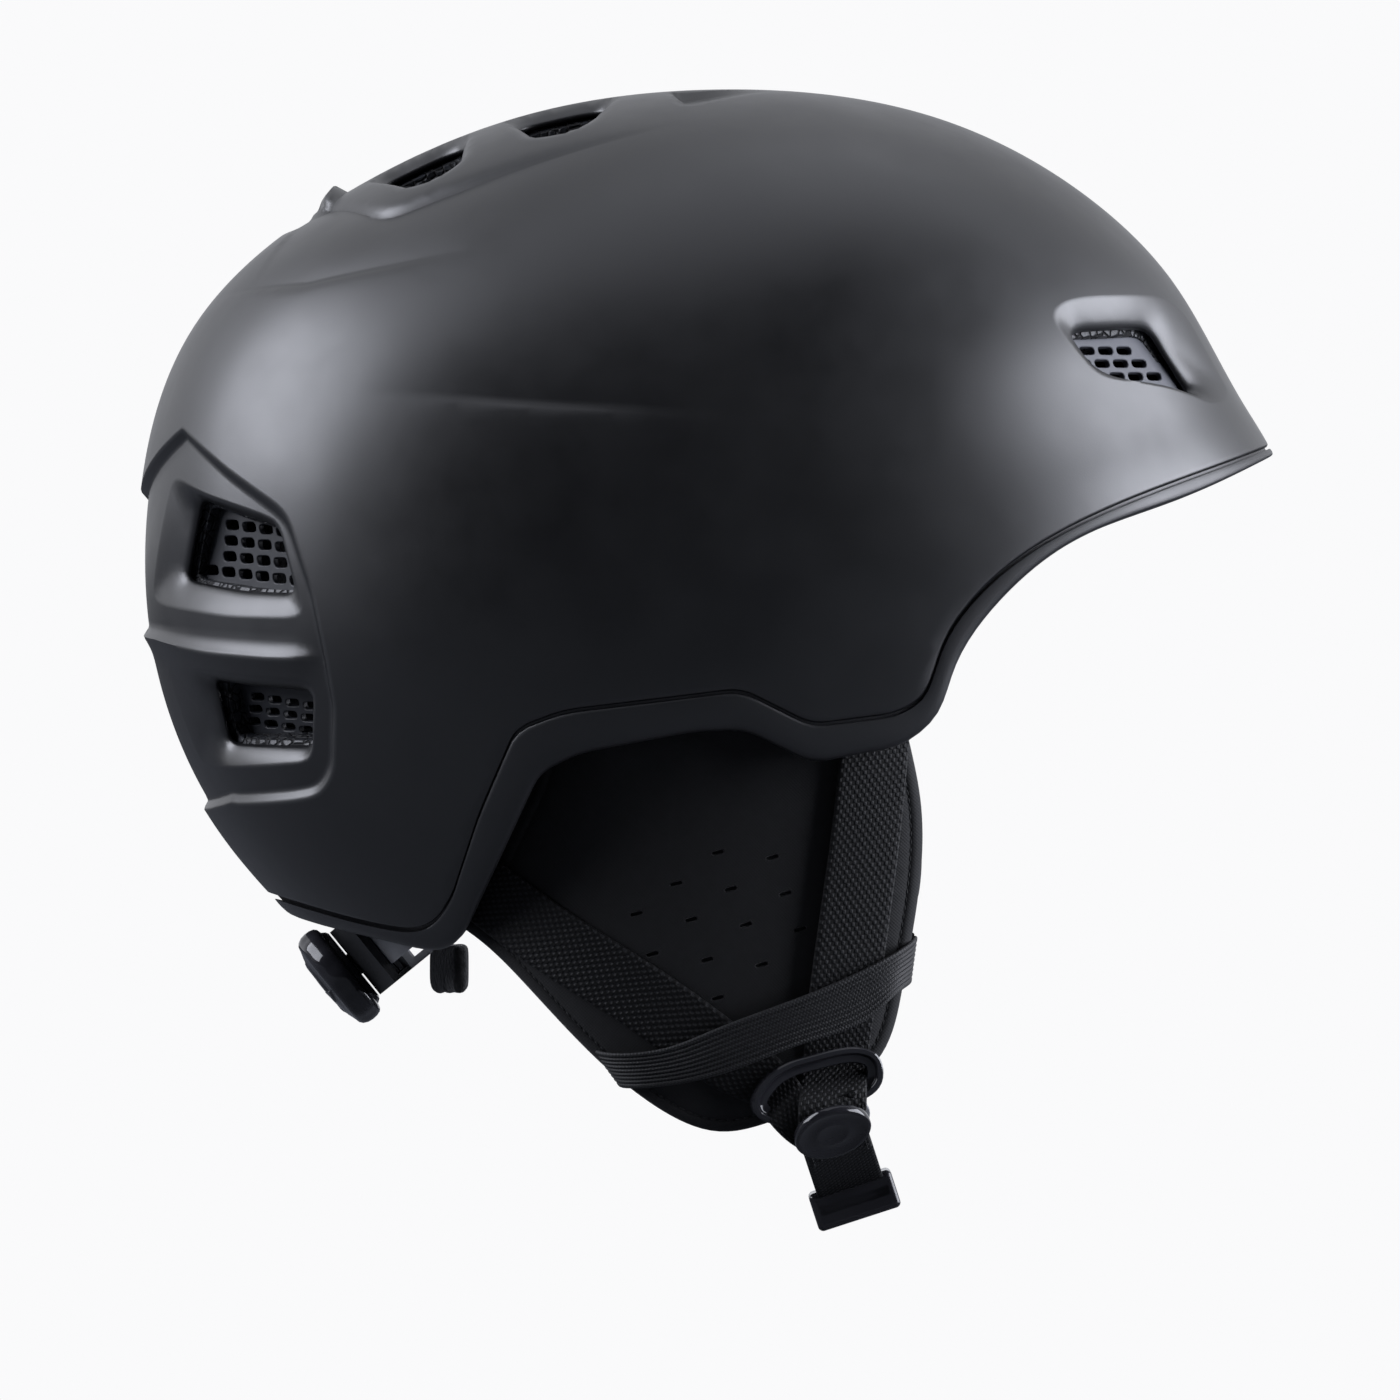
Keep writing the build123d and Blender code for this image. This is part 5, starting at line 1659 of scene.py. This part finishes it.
@dataclass
class ChinSet:
    """The strap rings, discs and chin webbing on both sides."""

    face: EarFace
    stitcher: Stitcher
    tilt: float = math.radians(18)
    origin: tuple[float, float, float] = (42.0, 0.0, -173.5)
    line: tuple = ((-88.6, 27.4), (-87.4, 25.0), (-83.6, 22.8), (-71, 17.6), (-60, 13.4), (-45, 8.4), (-36, 5.6), (-29.5, 3.7))
    plug_end: tuple[float, float] = (-22.8, 2.4)
    width: float = 17.5
    ring_line: tuple = ((-16, -94.5), (-9.5, -86.0), (9, -81.6), (15.6, -83.4), (15.6, -91.0), (-11, -98.5))
    disc_at: tuple[float, float] = (-85.6, 21.2)
    disc_slope: float = math.radians(35)

    def chin(self, a: np.ndarray, h: np.ndarray, w: np.ndarray) -> np.ndarray:
        """Points in the chin strap's own frame: a runs to the left, h up and w across the webbing."""
        a, h, w = np.broadcast_arrays(np.asarray(a, float), np.asarray(h, float), np.asarray(w, float))
        c, s = math.cos(self.tilt), math.sin(self.tilt)
        return np.array(self.origin) + a[..., None] * np.array([0, 1, 0]) + h[..., None] * np.array([-s, 0, c]) + w[..., None] * np.array([c, 0, s])

    def build(self) -> None:
        """Make every piece of the chin set."""
        for side in Side:
            self.ring(side)
            self.disc(side)
            self.backing(side)
            self.strap(side)

    def ring(self, side: Side) -> bpy.types.Object:
        """The divider ring: a bevelled bar with a raised outer lip, bent round its outline."""
        angle = math.radians(12.0)
        c, s = math.cos(angle), math.sin(angle)
        x = np.array([c, 0, 0]) - s * self.face.out
        z = np.array([s, 0, 0]) + c * self.face.out
        centre = self.face.origin + np.array([31.0 - self.face.middle, 0, 0]) + 106 * c * self.face.out
        path = resample(rounded(self.ring_line, 6.5, 9), 0.9, True)
        section = (
            (-2.3, 0.3), (-2.3, 1.5), (-2.0, 1.95), (-0.35, 2.2), (-0.1, 2.4), (0.15, 3.0), (0.45, 3.25), (1.45, 3.25), (1.85, 2.85),
            (1.85, 0.3), (1.5, 0.0), (-2.0, 0.0),
        )
        rows = []
        for across, high in section:
            flat = widened(path, across)
            rows.append(centre + flat[:, :1] * x + flat[:, 1:] * self.face.up + z * (1.9 + high))
        grid = np.array(rows)
        k, n = grid.shape[:2]
        faces = [(i * n + j, (i + 1) % k * n + j, (i + 1) % k * n + (j + 1) % n, i * n + (j + 1) % n) for i in range(k) for j in range(n)]
        made = make_piece(f"strap_ring_{side.word}_bevelled", grid.reshape(-1, 3), faces, Palette.acetal, "black_acetal", side is Side.LEFT, crease=38)
        self.face_out(made)
        return settle(made, "helmet", f"strap_ring_{side.word}")

    @staticmethod
    def face_out(piece: bpy.types.Object) -> None:
        """Turn a closed mesh's faces outwards."""
        shape = bmesh.new()
        shape.from_mesh(piece.data)
        bmesh.ops.recalc_face_normals(shape, faces=shape.faces)
        shape.to_mesh(piece.data)
        shape.free()

    def lathe(self, name: str, profile: tuple, at: tuple[float, float], lift: float, mirror: bool, finish: Finish, slot: str, steps: int = 64) -> bpy.types.Object:
        """A turned piece that stands on the chin strap.

        Args:
            name: the piece's name.
            profile: its section, as radius and height.
            at: where on the strap it is.
            lift: how far from the strap's middle its foot is; negative is the inner side.
            mirror: whether it is on the left.
            finish: its finish.
            slot: the record's slot.
            steps: how many sides it has.

        Returns:
            The object.
        """
        out = np.array([-math.sin(self.disc_slope), -math.cos(self.disc_slope)])
        along = np.array([math.cos(self.disc_slope), -math.sin(self.disc_slope)])
        turn = np.linspace(0, 2 * math.pi, steps, endpoint=False)
        rows = []
        for r, h in profile:
            r = max(r, 1e-3)
            base = np.array(at) + out * (lift + (h if lift > 0 else -h))
            a = base[0] + along[0] * r * np.cos(turn)
            hh = base[1] + along[1] * r * np.cos(turn)
            rows.append(self.chin(a, hh, r * np.sin(turn)))
        grid = np.array(rows)
        k, n = grid.shape[:2]
        faces = [(i * n + j, (i + 1) * n + j, (i + 1) * n + (j + 1) % n, i * n + (j + 1) % n) for i in range(k - 1) for j in range(n)]
        faces += [tuple(range(n)), tuple(range((k - 1) * n, k * n))]
        made = make_piece(name, grid.reshape(-1, 3), faces, finish, slot, mirror, crease=38)
        self.face_out(made)
        return made

    def disc(self, side: Side) -> bpy.types.Object:
        """The round snap cover: a thick dished button with a plain raised rim."""
        profile = ((9.2, 0.0), (9.9, 0.5), (10.0, 1.0), (10.0, 2.0), (9.75, 2.45), (9.2, 2.6), (8.6, 2.5), (8.1, 2.25), (5.0, 2.2), (4.6, 2.35), (3.8, 2.35), (3.4, 2.2), (0.0, 2.2))
        made = self.lathe(f"strap_disc_{side.word}_button", profile, self.disc_at, 1.2, side is Side.LEFT, Palette.acetal, "black_acetal")
        return settle(made, "helmet", f"strap_disc_{side.word}")

    def backing(self, side: Side) -> bpy.types.Object:
        """The milky washer under the snap, on the strap's inner side."""
        profile = ((3.0, 0.0), (9.6, 0.0), (10.5, 0.3), (10.7, 0.8), (10.4, 1.3), (9.4, 1.6), (3.6, 1.6), (3.0, 1.3))
        made = self.lathe(f"disc_backing_{side.word}_washer", profile, (-81.6, 20.2), -1.0, side is Side.LEFT, Palette.milky, "milky_plastic")
        return settle(made, "helmet", f"disc_backing_{side.word}")

    def strap(self, side: Side) -> bpy.types.Object:
        """The chin webbing with its slanted fold and sewn tail."""
        section = Band(1.5)
        path = Spline(self.line if side is Side.RIGHT else (*self.line, self.plug_end)).sample(52)
        left, right = (self.chin(path[:, 0], path[:, 1], w) for w in (-self.width / 2, self.width / 2))
        points, faces, uv = section.mesh(left, right)
        tail = Spline(self.line).at(np.linspace(16.5, 30.0, 16))
        gap = np.gradient(tail, axis=0)
        n = np.stack([gap[:, 1], -gap[:, 0]], axis=1) / np.linalg.norm(gap, axis=1, keepdims=True)
        low = tail + n * 1.62
        edges = []
        for w, slant in ((-self.width / 2 + 0.4, 3.4), (self.width / 2 - 0.2, -2.4)):
            along = lengths(low)
            shifted = np.stack([np.interp(along + slant * (1 - along / along[-1]), along, low[:, k]) for k in (0, 1)], axis=1)
            edges.append(self.chin(shifted[:, 0], shifted[:, 1], w))
        p2, f2, uv2 = section.mesh(edges[0], edges[1])
        count = len(points)
        faces = faces + [tuple(k + count for k in f) for f in f2]
        made = make_piece(
            f"chin_strap_{side.word}_webbing", np.vstack([points, p2]), faces, Palette.webbing, "webbing", side is Side.LEFT,
            uv=np.vstack([uv, uv2]), crease=50,
        )
        self.face_out(made)
        flip = (1, -1, 1) if side is Side.LEFT else (1, 1, 1)
        rows = [(edges[0] + (edges[1] - edges[0]) * t + self.chin_out(tail, n) * 0.8) * flip for t in (0.08, 0.92)]
        across = np.linspace(0.08, 0.92, 12)[:, None]
        rows += [(edges[0][k] + (edges[1][k] - edges[0][k]) * across + self.chin_out(tail, n)[k] * 0.8) * flip for k in (1, 12)]
        settle(self.stitcher.sew(f"chin_stitches_{side.word}", rows, 1.7, 1.25, 0.42, "webbing"), "helmet")
        return settle(made, "helmet", f"chin_strap_{side.word}")

    def chin_out(self, path: np.ndarray, n: np.ndarray) -> np.ndarray:
        """World directions of the strap's outer side at points of its path."""
        return self.chin(n[:, 0], n[:, 1], 0.0) - np.array(self.origin)


@dataclass
class ComfortPads:
    """The padding inside the hollow, and the nape pad of the fit system."""

    hollow: HeadHollow

    def on_hollow(self, turn: np.ndarray, z: np.ndarray, grow: float = 0.0) -> np.ndarray:
        """Points of the hollow's face by their direction round the head and height."""
        a, b, c = (r + grow for r in self.hollow.radii)
        rise = np.clip(z - self.hollow.centre[1], 0, c - 1)
        f = np.sqrt(1 - (rise / c) ** 2)
        return np.stack([self.hollow.centre[0] + a * f * np.cos(turn), b * f * np.sin(turn), z], axis=-1)

    def outwards(self, points: np.ndarray) -> np.ndarray:
        """The hollow's outward directions at points."""
        a, b, c = self.hollow.radii
        z = np.maximum(points[..., 2] - self.hollow.centre[1], 0) / c**2
        n = np.stack([(points[..., 0] - self.hollow.centre[0]) / a**2, points[..., 1] / b**2, z], axis=-1)
        return n / np.linalg.norm(n, axis=-1, keepdims=True)

    def wrapped(self, name: str, turns: tuple[float, float], heights: tuple[float, float], channels: int) -> bpy.types.Object:
        """A pad round part of the hollow's wall.

        Args:
            name: the piece's name.
            turns: the directions round the head where it starts and ends, in degrees.
            heights: its lowest and highest level.
            channels: how many sewn lines divide it.

        Returns:
            The pad.
        """
        turn = np.radians(np.linspace(*turns, 34))
        t, z = np.meshgrid(turn, np.linspace(*heights, 12), indexing="ij")
        grid = self.on_hollow(t, z, -0.8)
        points, faces = slab(grid, self.outwards(grid), -0.9, 4.0)
        made = make_piece(name, points, faces, Palette.plush, "plush", crease=None)
        ChinSet.face_out(made)
        inflate(made, 3.2, 2.2)
        middle = math.radians(sum(turns) / 2)
        spread = math.radians(turns[1] - turns[0])
        lines = [middle + spread * (k / (channels + 1) - 0.5) for k in range(1, channels + 1)]

        def press(p: np.ndarray) -> np.ndarray:
            """Depth of the sewn channels, on the side that faces the head."""
            around = np.arctan2(p[:, 1] / self.hollow.radii[1], (p[:, 0] - self.hollow.centre[0]) / self.hollow.radii[0])
            inner = self.hollow.level(p, -3.4) < 1
            sunk = np.zeros(len(p))
            for line in lines:
                gap = (around - line + math.pi) % (2 * math.pi) - math.pi
                sunk = np.maximum(sunk, 1.5 * np.exp(-((gap * 95 / 2.2) ** 2)))
            return sunk * inner

        dent(made, press)
        return made

    def crown(self) -> bpy.types.Object:
        """The long pad under the crown."""
        x, y = np.meshgrid(np.linspace(-58, 38, 26), np.linspace(-13, 13, 8), indexing="ij")
        a, b, c = (r - 0.8 for r in self.hollow.radii)
        z = self.hollow.centre[1] + c * np.sqrt(1 - ((x - self.hollow.centre[0]) / a) ** 2 - (y / b) ** 2)
        grid = np.stack([x, y, z], axis=-1)
        points, faces = slab(grid, self.outwards(grid), -0.9, 4.0)
        made = make_piece("crown_pad_plush", points, faces, Palette.plush, "plush", crease=None)
        ChinSet.face_out(made)
        inflate(made, 3.2, 2.2)
        dent(made, lambda p: 1.4 * np.exp(-((np.abs(np.abs(p[:, 0] + 10) - 20) / 2.0) ** 2)) * (self.hollow.level(p, -3.4) < 1))
        return made

    def nape(self) -> bpy.types.Object:
        """The fleece pad that rests on the nape."""
        turn = np.radians(np.linspace(156, 204, 26))
        t, z = np.meshgrid(turn, np.linspace(-121.8, -107.6, 7), indexing="ij")
        grid = np.stack([15 + 79.5 * np.cos(t), 79.5 * np.sin(t), z], axis=-1)
        n = np.stack([np.cos(t), np.sin(t), np.zeros_like(t)], axis=-1)
        points, faces = slab(grid, n, 2.0, 2.0)
        made = make_piece("nape_pad_fleece", points, faces, Palette.fleece, "fleece", crease=None)
        ChinSet.face_out(made)
        inflate(made, 2.6, 2.0)
        return made

    def build(self) -> None:
        """Make every pad."""
        brow = self.wrapped("brow_pad_plush", (-55, 55), (-4, 22), 3)
        liner = self.wrapped("nape_liner_plush", (142, 218), (-57, 8), 2)
        left = self.wrapped("side_pad_left_plush", (68, 119), (-30, 28), 1)
        right = mirrored_copy(left, "side_pad_right_plush")
        for made, body, node in (
            (brow, "helmet", "brow_pad"), (liner, "helmet", "nape_liner"), (left, "helmet", "side_pad_left"),
            (right, "helmet", "side_pad_right"), (self.crown(), "helmet", "crown_pad"), (self.nape(), "cradle", "nape_pad"),
        ):
            soften(made)
            settle(made, body, node)


@dataclass
class FitDial:
    """The dial's knob, and new finishes for the fit system's and the buckle's own parts."""

    centre: tuple[float, float, float] = (-18.4, 0.0, -58.7)
    radius: float = 14.0
    start: float = 88.5
    thick: float = 8.5
    grips: int = 14

    def build(self) -> None:
        """Make the knob and dress the carried-over parts."""
        lean = math.atan2(0.631, 0.776)
        out = np.array([-math.cos(lean), 0, -math.sin(lean)])
        down = np.array([math.sin(lean), 0, -math.cos(lean)])
        turn = np.linspace(0, 2 * math.pi, self.grips * 16, endpoint=False)
        grip = 0.25 * (0.5 + 0.5 * np.cos(turn * self.grips))
        profile = (
            (3.4, -1.5, 0), (10.2, -1.5, 0), (10.9, -1.1, 0), (11.6, -0.1, 0), (12.8, 0.2, 0), (13.6, 0.9, 0.4), (14.05, 2.0, 1), (14.15, 3.4, 1),
            (13.95, 4.8, 1), (13.3, 6.0, 0.6), (12.3, 6.7, 0), (11.0, 7.0, 0), (9.0, 7.65, 0), (6.5, 8.15, 0), (4.0, 8.4, 0), (2.0, 8.5, 0), (0.001, 8.5, 0),
        )
        rows = []
        for r, h, share in self.refined(profile):
            around = r - grip * share
            rise = h + self.arrows(turn, r) * (1.0 if h > 6.8 else 0.0)
            rows.append(np.array(self.centre) + out * (self.start + rise)[:, None] + around[:, None] * (np.cos(turn)[:, None] * down + np.sin(turn)[:, None] * np.array([0, 1, 0])))
        grid = np.array(rows)
        k, n = grid.shape[:2]
        faces = [(i * n + j, (i + 1) * n + j, (i + 1) * n + (j + 1) % n, i * n + (j + 1) % n) for i in range(k - 1) for j in range(n)]
        faces += [tuple(range(n)), tuple(range((k - 1) * n, k * n))]
        knob = make_piece("dial_knob_domed", grid.reshape(-1, 3), faces, Palette.acetal, "black_acetal", crease=35)
        ChinSet.face_out(knob)
        settle(knob, "dial", "dial_knob")
        self.dress()

    @staticmethod
    def refined(profile: tuple) -> np.ndarray:
        """The profile with more rings over the domed face, where the arrows stand."""
        line = np.array(profile, float)
        made = [line[:11]]
        for a, b in zip(line[10:-1], line[11:]):
            made.append(a + (b - a) * np.linspace(0, 1, 7)[1:, None])
        return np.vstack(made)

    @staticmethod
    def arrows(turn: np.ndarray, r: float) -> np.ndarray:
        """Height of two plain turning arrows on the domed face."""
        rise = np.zeros(len(turn))
        for start in (0.35, 0.35 + math.pi):
            t = (turn - start) % (2 * math.pi)
            wide = np.where(t < 1.35, 0.9, 2.5 * np.clip((1.85 - t) / 0.5, 0, 1)) * (t < 1.85)
            rise = np.maximum(rise, 0.4 * smooth(-0.35, 0.35, wide - abs(r - 8.0)) * smooth(0, 0.08, t))
        return rise

    @staticmethod
    def dress() -> None:
        """Give the carried-over CAD parts their finishes."""
        finishes = {
            Palette.milky: ("band_left", "band_right", "cradle_back"),
            Palette.nylon: ("dial_housing", "dial_pinion", "height_rail"),
            Palette.acetal: ("buckle_socket", "buckle_plug", "release_tab_front", "release_tab_rear"),
        }
        for finish, nodes in finishes.items():
            for node in nodes:
                part = FRAME["nodes"][node]
                if not part.material_slots:
                    part.data.materials.append(None)
                for slot in part.material_slots:
                    slot.material = finish.material()


# ---------------------------------------------------------------- studio
@dataclass
class Studio:
    """A pale floor, soft light from the front, the rear and above, and the camera at the side."""

    floor: float = -0.2105
    distance: float = 10.0
    field_width: float = 0.3577

    def build(self) -> None:
        """Make the floor, the surroundings, the lights and the camera."""
        self.camera()
        self.ground()
        self.surroundings()
        self.softbox("front_box", (1.65, -0.14, 0.3), (1.6, 1.5), 60)
        self.softbox("rear_box", (-1.5, -0.12, 0.85), (1.4, 1.3), 37)
        self.softbox("top_box", (0.1, -0.1, 1.9), (2.6, 1.3), 8)
        bpy.context.scene.view_settings.view_transform = "Standard"

    def camera(self) -> None:
        """A long lens that looks along +Y from the wearer's right."""
        data = bpy.data.cameras.new("side_view")
        data.sensor_width = 36.0
        data.lens = data.sensor_width * self.distance / self.field_width
        data.clip_end = 100.0
        made = bpy.data.objects.new("side_view", data)
        made.location = (0.00256, -self.distance, -0.046)
        made.rotation_euler = (math.radians(90), 0, 0)
        bpy.context.scene.collection.objects.link(made)
        bpy.context.scene.camera = made

    def ground(self) -> None:
        """The plain pale floor, which glows a little so that it stays even."""
        mesh = bpy.data.meshes.new("floor")
        w = 60.0
        mesh.from_pydata([(-w, -w, self.floor), (w, -w, self.floor), (w, w, self.floor), (-w, w, self.floor)], [], [(0, 1, 2, 3)])
        pale = bpy.data.materials.new("pale_floor_paper")
        pale.use_nodes = True
        tree = pale.node_tree
        tree.nodes.clear()
        out = add_node(tree, "ShaderNodeOutputMaterial")
        path = add_node(tree, "ShaderNodeLightPath")
        paper = add_node(tree, "ShaderNodeBsdfDiffuse", {"Color": linear("#5c5e62")})
        glow = add_node(tree, "ShaderNodeEmission", {"Color": linear("#fafafb"), "Strength": 1.0})
        mix = add_node(tree, "ShaderNodeMixShader", {0: path.outputs["Is Camera Ray"], 1: paper.outputs[0], 2: glow.outputs[0]})
        tree.links.new(mix.outputs[0], out.inputs["Surface"])
        mesh.materials.append(pale)
        made = bpy.data.objects.new("floor", mesh)
        bpy.context.scene.collection.objects.link(made)

    def surroundings(self) -> None:
        """A pale room that is bright behind the helmet and dim on the camera's side."""
        world = bpy.data.worlds.new("pale_room")
        bpy.context.scene.world = world
        world.use_nodes = True
        tree = world.node_tree
        tree.nodes.clear()
        out = add_node(tree, "ShaderNodeOutputWorld")
        path = add_node(tree, "ShaderNodeLightPath")
        split = add_node(tree, "ShaderNodeSeparateXYZ", {0: add_node(tree, "ShaderNodeTexCoord").outputs["Generated"]})
        rise = add_node(tree, "ShaderNodeMapRange", {"Value": split.outputs["Y"], 1: -0.35, 2: 0.75, 3: 0.02, 4: 0.85}, interpolation_type="SMOOTHSTEP")
        room = add_node(tree, "ShaderNodeBackground", {"Color": linear("#eef0f6"), "Strength": rise.outputs[0]})
        seen = add_node(tree, "ShaderNodeBackground", {"Color": linear("#fafafb"), "Strength": 1.0})
        mix = add_node(tree, "ShaderNodeMixShader", {0: path.outputs["Is Camera Ray"], 1: room.outputs[0], 2: seen.outputs[0]})
        tree.links.new(mix.outputs[0], out.inputs["Surface"])

    @staticmethod
    def softbox(name: str, place: tuple[float, float, float], size: tuple[float, float], power: float) -> None:
        """One large soft light that faces the helmet."""
        data = bpy.data.lights.new(name, "AREA")
        data.shape, data.size, data.size_y, data.energy = "RECTANGLE", size[0], size[1], power
        data.color = linear("#f1f4ff")[:3]
        made = bpy.data.objects.new(name, data)
        made.location = place
        made.rotation_euler = (-Vector(place)).to_track_quat("-Z", "Y").to_euler()
        made.visible_camera = False
        bpy.context.scene.collection.objects.link(made)


def main() -> None:
    """Load the frame and build every sub-assembly in order."""
    logging.basicConfig(level=logging.INFO, format="%(name)s: %(message)s")
    FRAME.update(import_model())
    Studio().build()
    dome = Dome()
    lines = RimLines(dome)
    relief = Relief(dome)
    Shell(dome, lines, relief).build()
    Trim(dome, lines).build()
    Liner(dome, lines, relief).build()
    Grilles(dome, relief).build()
    ear, stitcher = EarFace(), Stitcher()
    EarPad(ear, stitcher).build()
    ChinSet(ear, stitcher).build()
    ComfortPads(HeadHollow()).build()
    FitDial().build()


if __name__ == "__main__":
    main()
